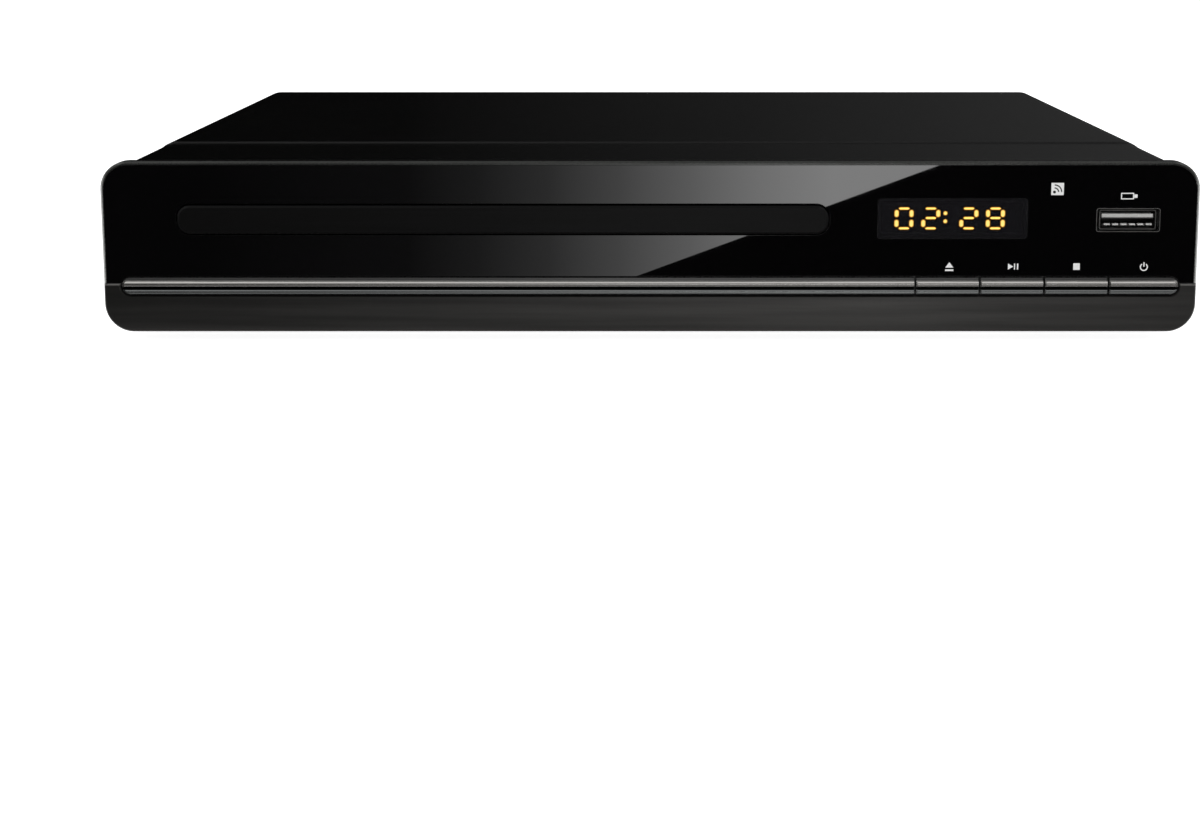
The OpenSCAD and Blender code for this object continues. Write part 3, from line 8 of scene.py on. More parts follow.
import bmesh
import bpy
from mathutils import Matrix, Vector


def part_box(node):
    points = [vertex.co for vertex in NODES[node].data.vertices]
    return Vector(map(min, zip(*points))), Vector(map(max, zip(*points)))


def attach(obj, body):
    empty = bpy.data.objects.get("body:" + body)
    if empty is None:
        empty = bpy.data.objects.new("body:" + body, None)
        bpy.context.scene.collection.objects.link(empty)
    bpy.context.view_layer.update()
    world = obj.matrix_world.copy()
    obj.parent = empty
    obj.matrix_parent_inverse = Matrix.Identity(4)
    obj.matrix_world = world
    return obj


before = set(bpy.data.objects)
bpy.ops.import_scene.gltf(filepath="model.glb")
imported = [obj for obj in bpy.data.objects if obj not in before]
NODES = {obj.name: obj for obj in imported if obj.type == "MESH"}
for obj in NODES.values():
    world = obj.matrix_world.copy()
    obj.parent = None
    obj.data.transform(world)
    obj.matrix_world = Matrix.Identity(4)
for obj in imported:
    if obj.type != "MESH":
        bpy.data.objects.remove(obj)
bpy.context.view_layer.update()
MM = 0.001


# ---------------------------------------------------------------- materials


class Shader:
    """A node material with a Principled BSDF and short calls for what feeds it."""

    def __init__(self, name):
        self.mat = bpy.data.materials.new(name)
        self.mat.use_nodes = True
        self.tree = self.mat.node_tree
        self.bsdf = self.tree.nodes["Principled BSDF"]
        self.coords = self.node("ShaderNodeTexCoord").outputs["Object"]

    def node(self, kind, **settings):
        made = self.tree.nodes.new(kind)
        for key, value in settings.items():
            setattr(made, key, value)
        return made

    def link(self, source, target):
        self.tree.links.new(source, target)

    def put(self, **values):
        for key, value in values.items():
            socket = self.bsdf.inputs[key.replace("_", " ")]
            socket.default_value = (*value, 1) if isinstance(value, tuple) else value

    def scaled(self, scale, turn=(0, 0, 0)):
        mapping = self.node("ShaderNodeMapping")
        mapping.inputs["Scale"].default_value = scale
        mapping.inputs["Rotation"].default_value = turn
        self.link(self.coords, mapping.inputs["Vector"])
        return mapping.outputs["Vector"]

    def split(self, vector=None):
        """Outputs X, Y and Z of a vector, or of the object's own coordinates."""
        made = self.node("ShaderNodeSeparateXYZ")
        self.link(vector or self.coords, made.inputs[0])
        return made.outputs

    def noise(self, scale, detail=4.0):
        """Noise with a number of features a metre along each axis."""
        made = self.node("ShaderNodeTexNoise")
        made.inputs["Scale"].default_value = 1
        made.inputs["Detail"].default_value = detail
        made.inputs["Roughness"].default_value = 0.55
        self.link(self.scaled(scale), made.inputs["Vector"])
        return made.outputs["Fac"]

    def math(self, kind, a, b=None):
        made = self.node("ShaderNodeMath", operation=kind)
        for i, value in enumerate((a, b)):
            if value is None:
                continue
            if isinstance(value, (int, float)):
                made.inputs[i].default_value = value
            else:
                self.link(value, made.inputs[i])
        return made.outputs[0]

    def spread(self, value, low, high, start=0.3, end=0.7):
        """low to high while value goes from start to end."""
        made = self.node("ShaderNodeMapRange")
        for key, number in (("From Min", start), ("From Max", end), ("To Min", low), ("To Max", high)):
            made.inputs[key].default_value = number
        self.link(value, made.inputs["Value"])
        return made.outputs["Result"]

    def ramp(self, value, stops):
        made = self.node("ShaderNodeValToRGB")
        elements = made.color_ramp.elements
        while len(elements) < len(stops):
            elements.new(0.5)
        for element, (place, colour) in zip(elements, stops):
            element.position = place
            element.color = (*colour, 1)
        self.link(value, made.inputs["Fac"])
        return made.outputs["Color"]

    def levels(self, value, stops):
        """A ramp of greys."""
        return self.ramp(value, [(place, (level, level, level)) for place, level in stops])

    def mix(self, factor, a, b):
        made = self.node("ShaderNodeMix", data_type="RGBA")
        for socket, value in ((made.inputs["Factor"], factor), (made.inputs[6], a), (made.inputs[7], b)):
            if isinstance(value, tuple):
                socket.default_value = (*value, 1)
            elif isinstance(value, (int, float)):
                socket.default_value = value
            else:
                self.link(value, socket)
        return made.outputs[2]

    def edge_normal(self, radius):
        made = self.node("ShaderNodeBevel", samples=4)
        made.inputs["Radius"].default_value = radius
        return made.outputs["Normal"]

    def bump(self, height, strength, distance, normal=None):
        made = self.node("ShaderNodeBump")
        made.inputs["Strength"].default_value = strength
        made.inputs["Distance"].default_value = distance
        self.link(height, made.inputs["Height"])
        if normal is not None:
            self.link(normal, made.inputs["Normal"])
        return made.outputs["Normal"]

    def worn(self, normal, amount):
        """1 on the rounded edges and 0 on the flats."""
        geometry = self.node("ShaderNodeNewGeometry")
        dot = self.node("ShaderNodeVectorMath", operation="DOT_PRODUCT")
        self.link(normal, dot.inputs[0])
        self.link(geometry.outputs["Normal"], dot.inputs[1])
        return self.spread(dot.outputs["Value"], amount, 0, 0.82, 0.97)


HIGHLIGHT_SOFT = 2e-4


def surface(name, base, alt, rough, tone=(60, 60, 60), grain=(2500, 2500, 2500), relief=0.1,
            depth=2e-5, edge=1.5e-4, wear=None, highlight_band=None, detail=5.0, **sockets):
    """Colour that wanders from base to alt, roughness and relief from a finer grain, and rounded edges.

    wear is the colour of the rounded edges and how much of it shows, and the highlight band is a height in
    metres and the colour of a painted highlight on all that lies above it.
    """
    s = Shader(name)
    s.put(**sockets)
    fine = s.noise(grain, detail=3.0)
    normal = s.edge_normal(edge)
    colour = s.ramp(s.noise(tone, detail=detail), [(0.32, base), (0.68, alt)])
    if wear:
        bare, amount = wear
        colour = s.mix(s.worn(normal, amount), colour, bare)
    if highlight_band:
        height, shade = highlight_band
        # a painted highlight: everything above the given height takes the lighter colour
        colour = s.mix(s.spread(s.split()["Z"], 0, 1, height, height + HIGHLIGHT_SOFT), colour, shade)
    s.link(colour, s.bsdf.inputs["Base Color"])
    s.link(s.spread(fine, *rough), s.bsdf.inputs["Roughness"])
    s.link(s.bump(fine, relief, depth, normal), s.bsdf.inputs["Normal"])
    return s.mat


def grey(level, tint=(1, 1, 1)):
    """A grey of this level, or a colour made lighter or darker by it."""
    return tuple(level * t for t in tint)


BRUSH_TONE, BRUSH_GRAIN, BRUSH_DETAIL = (22, 900, 1500), (60, 4000, 5000), 6.0
HIGHLIGHT_H = 6.5e-4  # height of the painted highlight along the upper edge of the lower plate
MATERIALS = {}


def define(nodes, material):
    for name in nodes.split():
        MATERIALS[name] = material


# painted and plated sheet steel
define("top_cover", surface(
    "satin_paint", (0.0018, 0.0018, 0.0018), (0.0028, 0.0028, 0.0027), (0.15, 0.2), tone=(18, 18, 18),
    grain=(1600, 1600, 1600), relief=0.04, depth=8e-6, edge=2.5e-4))
define("rear_panel", surface(
    "satin_paint_rear", (0.011, 0.011, 0.011), (0.016, 0.016, 0.0155), (0.4, 0.5), tone=(20, 20, 20),
    grain=(1600, 1600, 1600), relief=0.25, depth=1.2e-5))
define("bottom_chassis clamp_bridge", surface(
    "plated_sheet", (0.46, 0.47, 0.48), (0.56, 0.565, 0.57), (0.3, 0.45), tone=(120, 120, 120),
    grain=(700, 700, 700), relief=0.12, Metallic=0.9))
define("case_screws inner_screws", surface(
    "blackened_screw", (0.035, 0.035, 0.037), (0.06, 0.06, 0.062), (0.25, 0.4), tone=(500, 500, 500),
    Metallic=0.85, wear=((0.25, 0.25, 0.25), 0.6)))
define("rubber_feet loader_dampers turntable_pad", surface(
    "soft_rubber", (0.018, 0.018, 0.018), (0.028, 0.028, 0.027), (0.7, 0.85), tone=(150, 150, 150),
    grain=(3000, 3000, 3000), relief=0.35, Specular_IOR_Level=0.35))
define("drive_belt", surface(
    "belt_rubber", (0.015, 0.015, 0.015), (0.024, 0.024, 0.024), (0.55, 0.7)))

# the front
define("gloss_panel", surface(
    "piano_black", (0.0014, 0.0013, 0.0015), (0.0017, 0.0016, 0.0018), (0.008, 0.02), tone=(9, 9, 9),
    grain=(260, 260, 260), relief=0.004, depth=1e-5, edge=1.2e-4))
# the lower plate's upper edge carries a painted highlight, lighter than its brushed metal
define("lower_fascia", surface(
    "brushed_fascia", (0.027, 0.0262, 0.0252), (0.042, 0.0407, 0.0392), (0.30, 0.38), tone=(14, 300, 420),
    grain=BRUSH_GRAIN, detail=3.0, relief=0.2, depth=5e-6,
    highlight_band=(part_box("lower_fascia")[1].z - HIGHLIGHT_H, (0.16, 0.156, 0.15)), Metallic=0.8, Anisotropic=0.5))
define("tray_door", surface(
    "door_satin", (0.0014, 0.0013, 0.0013), (0.0021, 0.0021, 0.0022), (0.36, 0.44), tone=BRUSH_TONE,
    grain=BRUSH_GRAIN, detail=BRUSH_DETAIL, relief=0.2, depth=5e-6, edge=2e-4, Specular_IOR_Level=0.1))
# the port's nickel shell is painted far darker than nickel, as shade inside the port's recess
define("usb_shell", surface(
    "shaded_nickel_sheet", (0.09, 0.089, 0.086), (0.12, 0.118, 0.113), (0.3, 0.4), tone=(300, 300, 300),
    Metallic=1.0))
define("ir_receiver", surface(
    "ir_lens", (0.02, 0.01, 0.012), (0.03, 0.015, 0.018), (0.1, 0.2)))
define("display_module", surface(
    "display_dark", (0.008, 0.0078, 0.0095), (0.0095, 0.0092, 0.0115), (0.6, 0.7),
    Specular_IOR_Level=0.0))
define("display_segments", surface(
    "segment_unlit", (0.0085, 0.0082, 0.0100), (0.0100, 0.0096, 0.0120), (0.6, 0.7),
    Specular_IOR_Level=0.0))

# the drawer and the loader
define("tray", surface(
    "tray_moulded", (0.020, 0.020, 0.021), (0.027, 0.027, 0.028), (0.42, 0.52), tone=(40, 40, 40),
    grain=(2600, 2600, 2600), relief=0.4, depth=1.5e-5, edge=2e-4))
define("loader_frame cam_slider turntable clamp_puck", surface(
    "loader_moulded", (0.032, 0.032, 0.034), (0.043, 0.043, 0.045), (0.42, 0.55), tone=(50, 50, 50),
    grain=(2200, 2200, 2200), relief=0.35, edge=2e-4))
define("drive_gear pulley_gear motor_pulley sled_gear sled_pinion", surface(
    "acetal_white", (0.68, 0.675, 0.64), (0.75, 0.745, 0.715), (0.35, 0.45), tone=(90, 90, 90), relief=0.15,
    Subsurface_Weight=0.15, Subsurface_Scale=0.002))
define("loading_motor spindle_motor sled_motor", surface(
    "motor_can", (0.50, 0.50, 0.50), (0.58, 0.58, 0.575), (0.25, 0.38), tone=(200, 200, 200),
    Metallic=0.95))
define("traverse_frame", surface(
    "traverse_pressing", (0.48, 0.485, 0.49), (0.57, 0.575, 0.58), (0.3, 0.42), tone=(100, 100, 100),
    Metallic=0.9))
define("guide_rods inlet_pins", surface(
    "ground_rod", (0.66, 0.655, 0.63), (0.72, 0.715, 0.69), (0.12, 0.2), tone=(60, 900, 900), Metallic=1.0))
define("pickup_body", surface(
    "pickup_die_cast", (0.30, 0.30, 0.305), (0.37, 0.37, 0.375), (0.4, 0.55), tone=(250, 250, 250),
    relief=0.3, Metallic=0.7))
define("pickup_lens", surface(
    "lens_holder", (0.015, 0.015, 0.018), (0.022, 0.022, 0.026), (0.15, 0.25), tone=(250, 250, 250)))

# the boards
define("decoder_chip", surface(
    "chip_epoxy", (0.018, 0.018, 0.019), (0.024, 0.024, 0.025), (0.5, 0.6), relief=0.3))
define("heat_sinks", surface(
    "sink_aluminium", (0.60, 0.60, 0.61), (0.68, 0.68, 0.69), (0.3, 0.42), Metallic=0.95, relief=0.2))
define("capacitors", surface(
    "can_sleeve", (0.014, 0.018, 0.040), (0.02, 0.025, 0.052), (0.25, 0.35), tone=(200, 200, 200)))
define("transformer", surface(
    "transformer_tape", (0.52, 0.36, 0.05), (0.62, 0.44, 0.08), (0.3, 0.42), tone=(150, 150, 600)))
define("tact_switches", surface(
    "switch_steel", (0.45, 0.45, 0.45), (0.55, 0.55, 0.55), (0.3, 0.4), Metallic=0.8))
define("power_inlet av_jack_block", surface(
    "inlet_moulded", (0.016, 0.016, 0.016), (0.023, 0.023, 0.023), (0.38, 0.48), tone=(80, 80, 80),
    relief=0.25))
define("av_jack_shells", surface(
    "jack_nickel", (0.66, 0.65, 0.62), (0.73, 0.72, 0.69), (0.14, 0.24), tone=(400, 400, 400), Metallic=1.0))
for ring, colour in (("yellow", (0.80, 0.52, 0.02)), ("white", (0.78, 0.78, 0.76)),
                     ("red", (0.58, 0.02, 0.015))):
    define(ring + "_ring", surface(
        ring + "_plastic", grey(0.92, colour), colour, (0.3, 0.4), tone=(200, 200, 200), relief=0.15))

RIM_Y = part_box("front_bezel")[0].y + 6e-4  # how far back the silver of the rim reaches
RIM_SOFT = 1.5e-4
RIM_HIGHLIGHT_FROM_X, RIM_HIGHLIGHT_TO_X = 0.1335, 0.1345  # the rim's silver is dim along its long runs, and from here on a painted highlight makes its ends bright


def bezel_material():
    """Dark moulding whose foremost edge, the rim round the plates, is painted silver, with a painted
    highlight brightening that silver at its left and right ends.
    """
    s = Shader("bezel_moulded")
    normal = s.edge_normal(1.5e-4)
    fine = s.noise((3000, 3000, 3000), detail=3.0)
    place = s.split()
    y = s.math("ADD", place["Y"], s.spread(s.noise((900, 900, 900)), -2e-5, 2e-5))
    painted = s.spread(y, 1, 0, RIM_Y, RIM_Y + RIM_SOFT)
    # the silver's level: a painted highlight towards the left and right ends, with some random tone
    level = s.math("ADD", s.spread(s.math("ABSOLUTE", place["X"]), 0, 1, RIM_HIGHLIGHT_FROM_X, RIM_HIGHLIGHT_TO_X),
                   s.spread(s.noise((40, 40, 40)), 0.0, 0.06))
    silver = s.ramp(level, [(0.0, (0.045, 0.046, 0.044)), (1.0, (0.26, 0.264, 0.257))])
    plastic = s.ramp(s.noise((30, 30, 30)), [(0.3, (0.0026, 0.0026, 0.0025)),
                                             (0.7, (0.0038, 0.0037, 0.0035))])
    s.link(s.mix(painted, plastic, silver), s.bsdf.inputs["Base Color"])
    s.link(painted, s.bsdf.inputs["Metallic"])
    s.link(s.spread(fine, 0.24, 0.32), s.bsdf.inputs["Roughness"])
    s.link(s.bump(fine, 0.1, 1.2e-5, normal), s.bsdf.inputs["Normal"])
    return s.mat


define("front_bezel", bezel_material())

BAR_LOW, BAR_HIGH = (corner.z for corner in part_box("trim_bar"))
# share of the bar's height and the colour there, with light and shade painted in: the foot darker towards
# its bottom as painted shade, the groove painted black as shade, the crown with a painted highlight on its
# top and dim below it, and the lip above it painted dark as shade in its recess
BAR_STOPS = [(0.0, (0.10, 0.104, 0.104)), (0.26, (0.24, 0.248, 0.248)), (0.295, (0.002, 0.002, 0.002)),
             (0.44, (0.002, 0.002, 0.002)), (0.47, (0.22, 0.212, 0.205)), (0.62, (0.22, 0.212, 0.204)),
             (0.72, (0.62, 0.60, 0.575)), (0.83, (0.66, 0.64, 0.615)), (0.85, (0.042, 0.042, 0.041)),
             (1.0, (0.042, 0.042, 0.041))]
KEY_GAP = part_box("play_button")[0].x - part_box("eject_button")[1].x


def bar_material():
    """Satin metal of the bar and its keys, with light and shade painted along its height: a painted
    highlight on the crown's top, painted shade in black in the groove and the gaps, and painted shade on the
    recessed lip, which is also matt.
    """
    s = Shader("satin_bar")
    place = s.split()
    height = s.spread(place["Z"], 0, 1, BAR_LOW, BAR_HIGH)
    # the flat ends of the keys and the gaps between them are painted black as shade, with a little random
    # tone added
    facing = s.split(s.node("ShaderNodeNewGeometry").outputs["True Normal"])
    dark = s.spread(s.math("ABSOLUTE", facing["X"]), 0, 1, 0.9, 0.98)
    for key in ("eject", "play", "stop", "power"):
        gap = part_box(key + "_button")[0].x - KEY_GAP / 2
        away = s.math("ABSOLUTE", s.math("SUBTRACT", place["X"], gap))
        dark = s.math("MAXIMUM", dark, s.spread(away, 1, 0, KEY_GAP * 0.6, KEY_GAP * 0.75))
    dark = s.math("MAXIMUM", dark, s.spread(s.noise(BRUSH_TONE, detail=BRUSH_DETAIL), 0.0, 0.05))
    s.link(s.mix(dark, s.ramp(height, BAR_STOPS), (0.001, 0.001, 0.001)), s.bsdf.inputs["Base Color"])
    s.link(s.spread(s.noise(BRUSH_GRAIN, detail=3.0), 0.18, 0.23), s.bsdf.inputs["Roughness"])
    s.link(s.spread(height, 1, 0, 0.83, 0.85), s.bsdf.inputs["Metallic"])
    s.link(s.edge_normal(1e-4), s.bsdf.inputs["Normal"])
    return s.mat


define("trim_bar eject_button play_button stop_button power_button", bar_material())


def tongue_material():
    """Pale plastic of the port's tongue, painted near black along its lower edge as shade towards the slot
    below it, where the contacts are.
    """
    low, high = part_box("usb_tongue")
    s = Shader("port_tongue")
    height = s.spread(s.split()["Z"], 0, 1, low.z, high.z)
    # the lowest quarter of the tongue's height is painted near black as shade
    s.link(s.ramp(height, [(0.24, grey(0.01)), (0.29, (0.52, 0.52, 0.50)), (1.0, (0.56, 0.56, 0.54))]),
           s.bsdf.inputs["Base Color"])
    s.link(s.spread(s.noise((600, 600, 600)), 0.38, 0.46), s.bsdf.inputs["Roughness"])
    return s.mat


define("usb_tongue", tongue_material())


def board_material(name, mask, bare):
    """A circuit board: solder mask over tracks, with bare pads."""
    s = Shader(name)
    tracks = s.node("ShaderNodeTexBrick", offset=0.37, squash=1.0)
    s.link(s.scaled((1, 1, 1), (0, 0, math.radians(90))), tracks.inputs["Vector"])
    for key, value in (("Scale", 260), ("Mortar Size", 0.09), ("Brick Width", 1.9),
                       ("Row Height", 0.42)):
        tracks.inputs[key].default_value = value
    pads = s.node("ShaderNodeTexVoronoi")
    pads.inputs["Scale"].default_value = 240
    s.link(s.coords, pads.inputs["Vector"])
    pad = s.math("LESS_THAN", pads.outputs["Distance"], 0.17)
    colour = s.mix(tracks.outputs["Fac"], mask, grey(1.7, mask))
    colour = s.mix(s.noise((70, 70, 70)), colour, grey(0.75, mask))
    s.link(s.mix(pad, colour, bare), s.bsdf.inputs["Base Color"])
    s.link(s.math("MULTIPLY", pad, 0.9), s.bsdf.inputs["Metallic"])
    s.link(s.spread(s.noise((900, 900, 900)), 0.28, 0.4), s.bsdf.inputs["Roughness"])
    s.link(s.bump(tracks.outputs["Fac"], 0.3, 2e-5), s.bsdf.inputs["Normal"])
    return s.mat


define("front_board main_board", board_material("board_green", (0.012, 0.085, 0.030), (0.62, 0.62, 0.60)))
define("power_board", board_material("board_tan", (0.34, 0.20, 0.07), (0.58, 0.58, 0.56)))


def ribbon_material():
    """Pale flat cable with the fine stripes of its wires."""
    s = Shader("ribbon_white")
    waves = s.node("ShaderNodeTexWave", bands_direction="X")
    waves.inputs["Scale"].default_value = 320
    s.link(s.coords, waves.inputs["Vector"])
    s.link(s.ramp(waves.outputs["Fac"], [(0.35, (0.66, 0.66, 0.64)), (0.55, (0.52, 0.53, 0.55))]),
           s.bsdf.inputs["Base Color"])
    s.link(s.spread(s.noise((400, 400, 400)), 0.32, 0.45), s.bsdf.inputs["Roughness"])
    return s.mat


define("ribbon_cables", ribbon_material())


def window_material():
    """Smoke-tinted acrylic over the display, without refraction, so that its edges stay dark."""
    s = Shader("smoke_window")
    s.put(Alpha=0.6, IOR=1.46)
    s.link(s.ramp(s.noise((30, 30, 30)), [(0.3, (0.0118, 0.0115, 0.0132)),
                                          (0.7, (0.0123, 0.0120, 0.0138))]),
           s.bsdf.inputs["Base Color"])
    s.link(s.spread(s.noise((900, 900, 900)), 0.02, 0.04), s.bsdf.inputs["Roughness"])
    return s.mat


define("display_window", window_material())

for name, material in MATERIALS.items():
    NODES[name].data.materials.clear()
    NODES[name].data.materials.append(material)


def printed_ink(name, colour):
    """The matt ink of the marks on the front."""
    s = Shader(name)
    s.put(Specular_IOR_Level=0.4)
    s.link(s.ramp(s.noise((2500, 2500, 2500)), [(0.3, colour), (0.7, grey(0.97, colour))]),
           s.bsdf.inputs["Base Color"])
    s.link(s.spread(s.noise((4000, 4000, 4000)), 0.4, 0.5), s.bsdf.inputs["Roughness"])
    return s.mat


def glowing(name, colour, strength):
    """The lit face of a display's segment."""
    s = Shader(name)
    s.put(Base_Color=grey(0.4, colour), Roughness=0.5, Emission_Strength=strength)
    s.link(s.ramp(s.noise((900, 900, 900)), [(0.3, colour), (0.7, grey(0.93, colour))]),
           s.bsdf.inputs["Emission Color"])
    return s.mat


INK = printed_ink("ink_white", (0.88, 0.88, 0.87))
INK_DARK = printed_ink("ink_black", (0.004, 0.004, 0.004))
GLOW_EDGE = glowing("glow_amber", (1.0, 0.44, 0.035), 3.6)
GLOW_CORE = glowing("glow_core", (1.0, 0.74, 0.20), 7.5)


# ---------------------------------------------------------------- flat marks and lit segments


def add_piece(name, bm, material):
    """A piece on the case from a finished bmesh."""
    bmesh.ops.recalc_face_normals(bm, faces=bm.faces[:])
    mesh = bpy.data.meshes.new(name)
    bm.to_mesh(mesh)
    bm.free()
    piece = bpy.data.objects.new(name, mesh)
    bpy.context.scene.collection.objects.link(piece)
    mesh.materials.append(material)
    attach(piece, "case")


def plates(name, outlines, y, thickness, material):
    """One piece of flat plates in the XZ plane, from outlines in millimetres, with their backs at y."""
    bm = bmesh.new()
    for outline in outlines:
        back = [bm.verts.new((x * MM, y, z * MM)) for x, z in outline]
        front = [bm.verts.new((x * MM, y - thickness, z * MM)) for x, z in outline]
        bm.faces.new(back)
        bm.faces.new(list(reversed(front)))
        for i in range(len(outline)):
            j = (i + 1) % len(outline)
            bm.faces.new((back[j], back[i], front[i], front[j]))
    add_piece(name, bm, material)


def box2d(x, z, w, h):
    return [(x + i * w / 2, z + j * h / 2) for i, j in ((-1, -1), (1, -1), (1, 1), (-1, 1))]


def arc2d(x, z, r, width, start, end, steps=24):
    """Outline of a band of a circle, from start to end in degrees."""
    angles = [math.radians(start + (end - start) * i / steps) for i in range(steps + 1)]
    edge = [(r + width / 2, a) for a in angles] + [(r - width / 2, a) for a in reversed(angles)]
    return [(x + far * math.cos(a), z + far * math.sin(a)) for far, a in edge]


def disc2d(x, z, r, steps=32):
    return [(x + r * math.cos(2 * math.pi * i / steps), z + r * math.sin(2 * math.pi * i / steps))
            for i in range(steps)]


def rounded2d(x, z, w, h, r, steps=6):
    """Outline of a rectangle with rounded corners, from its right end's lower side on, anticlockwise."""
    corners = [(x + i * (w / 2 - r), z + j * (h / 2 - r)) for i, j in ((1, -1), (1, 1), (-1, 1), (-1, -1))]
    return [(cx + r * math.cos(a), cz + r * math.sin(a)) for k, (cx, cz) in enumerate(corners)
            for a in [math.radians(90 * (k - 1) + 90 * n / steps) for n in range(steps + 1)]]


PANEL_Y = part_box("gloss_panel")[0].y
INK_T = 2e-5
SIGN_T = 1e-5


def printed(name, outlines):
    plates(name, outlines, PANEL_Y, INK_T, INK)


# the four keys' symbols, each over its key
MARK_Z = 19.36
EJECT_X, PLAY_X, STOP_X, POWER_X = 73.85, 88.33, 105.25, 121.88
printed("mark_eject", [[(EJECT_X - 1.02, MARK_Z - 0.26), (EJECT_X + 1.02, MARK_Z - 0.26),
                        (EJECT_X, MARK_Z + 1.09)], box2d(EJECT_X, MARK_Z - 0.91, 2.04, 0.42)])
printed("mark_play", [[(PLAY_X, MARK_Z - 0.76), (PLAY_X, MARK_Z + 0.76), (PLAY_X + 1.32, MARK_Z)],
                      box2d(PLAY_X + 1.62, MARK_Z, 0.28, 1.5), box2d(PLAY_X + 2.37, MARK_Z, 0.32, 1.5)])
printed("mark_stop", [box2d(STOP_X, MARK_Z, 1.62, 1.66)])
printed("mark_power", [arc2d(POWER_X, MARK_Z - 0.11, 0.86, 0.28, 125, 415),
                       box2d(POWER_X, MARK_Z + 0.54, 0.3, 1.1)])

# the receiver's mark: a white tile with a dot and two arcs
TILE_X, TILE_Z = 99.97, 38.66
DOT_X, DOT_Z = TILE_X - 0.75, TILE_Z - 0.75
printed("mark_receiver", [box2d(TILE_X, TILE_Z, 3.08, 3.02)])
plates("mark_receiver_sign",
       [disc2d(DOT_X, DOT_Z, 0.36)] + [arc2d(DOT_X, DOT_Z, r, 0.3, 0, 90) for r in (1.0, 1.75)],
       PANEL_Y - INK_T, SIGN_T, INK_DARK)

# the port's mark: the outline of a memory stick, with its plug at the right
STICK_X, STICK_Z = 117.2, 36.9
printed("mark_port", [box2d(STICK_X, STICK_Z + z, 2.7, 0.26) for z in (-0.68, 0.68)]
        + [box2d(STICK_X + x, STICK_Z, 0.26, 1.62) for x in (-1.48, 1.48)]
        + [box2d(STICK_X + 2.05, STICK_Z, 0.8, 0.85)])

# the port's contact springs, leaves that rise from its shell's floor
LEAF_METAL = surface("leaf_metal", (0.62, 0.62, 0.60), (0.70, 0.70, 0.68), (0.4, 0.5), tone=(300, 300, 300))
PORT_LOW, PORT_HIGH = (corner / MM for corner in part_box("usb_shell"))
PORT_X, PORT_Z = (PORT_LOW.x + PORT_HIGH.x) / 2, (PORT_LOW.z + PORT_HIGH.z) / 2
LEAVES, LEAF_W, LEAF_PITCH, LEAF_T = 6, 1.5, 2.07, 0.12
LEAF_X = PORT_X + 0.3
LEAF = ((4.6, 0.4), (2.6, 1.15), (1.6, 1.42), (1.1, 1.4), (0.9, 1.1))


def leaf_springs():
    """Bent leaves from points in millimetres behind the port's face and above its lowest edge."""
    bm = bmesh.new()
    for k in range(LEAVES):
        x = LEAF_X + LEAF_PITCH * (k - (LEAVES - 1) / 2)
        left, right = x - LEAF_W / 2, x + LEAF_W / 2
        rings = []
        for back, up in LEAF:
            y, top = PORT_LOW.y + back, PORT_LOW.z + up
            ring = ((left, top - LEAF_T), (right, top - LEAF_T), (right, top), (left, top))
            rings.append([bm.verts.new((i * MM, y * MM, j * MM)) for i, j in ring])
        for a, b in zip(rings, rings[1:]):
            for i in range(4):
                bm.faces.new((a[i], a[i - 1], b[i - 1], b[i]))
        bm.faces.new(rings[0])
        bm.faces.new(list(reversed(rings[-1])))
    add_piece("port_springs", bm, LEAF_METAL)


leaf_springs()

# the thin edge round the port's opening: a flat ring in the lower plate's metal, a painted highlight
# standing for the light on the opening's cut edge
EDGE_W, EDGE_H, EDGE_R, EDGE_T = 15.7, 5.9, 0.6, 0.16
outer = rounded2d(PORT_X, PORT_Z, EDGE_W, EDGE_H, EDGE_R)
inner = rounded2d(PORT_X, PORT_Z, EDGE_W - 2 * EDGE_T, EDGE_H - 2 * EDGE_T, EDGE_R - EDGE_T)
plates("port_edge", [[outer[i - 1], outer[i], inner[i], inner[i - 1]] for i in range(len(outer))],
       PANEL_Y, INK_T, MATERIALS["lower_fascia"])

# the lit segments of the clock's digits, over the dark ones of the CAD node
DIGIT_W, DIGIT_H, DIGIT_Z = 4.8, 5.65, 31.1
UPRIGHT, CROSS = (1.13, 1.85), (2.75, 0.71)  # width and height of the two kinds of segment
CORNER_CUT, CROSS_UP = 0.3, 0.1
DIGITS = ((62.65, "abcdef"), (69.25, "abged"), (78.65, "abged"), (85.2, "abcdefg"))
COLON_X, COLON_R, COLON_UPS = 72.85, 0.54, (-0.7, 1.3)
SEGMENT_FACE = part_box("display_segments")[0].y
GLOW_T, GLOW_GAP, CORE_INSET = 2e-5, 1e-5, 0.15


def segment_outline(letter, grow):
    """Outline of one segment of a digit about the digit's middle, its corners cut off, larger by grow."""
    side, level = (DIGIT_W - UPRIGHT[0]) / 2, (DIGIT_H - CROSS[1]) / 4
    x, z = {"a": (0, 2 * level), "g": (0, CROSS_UP), "d": (0, -2 * level), "b": (side, level),
            "c": (side, -level), "e": (-side, -level), "f": (-side, level)}[letter]
    w, h = CROSS if letter in "agd" else UPRIGHT
    a, b, cut = w / 2 + grow, h / 2 + grow, CORNER_CUT
    return [(x + i, z + j) for i, j in ((-a, cut - b), (cut - a, -b), (a - cut, -b), (a, cut - b),
                                        (a, b - cut), (a - cut, b), (cut - a, b), (-a, b - cut))]


def lit_outlines(grow):
    """All lit segments and the colon's two dots, larger by grow."""
    outlines = [[(x + place, z + DIGIT_Z) for x, z in segment_outline(letter, grow)]
                for place, letters in DIGITS for letter in letters]
    return outlines + [disc2d(COLON_X, DIGIT_Z + up, COLON_R + grow) for up in COLON_UPS]


plates("lit_segments", lit_outlines(0.0), SEGMENT_FACE - GLOW_GAP, GLOW_T, GLOW_EDGE)
plates("lit_cores", lit_outlines(-CORE_INSET), SEGMENT_FACE - GLOW_T - 2 * GLOW_GAP, GLOW_T, GLOW_CORE)


# ---------------------------------------------------------------- studio


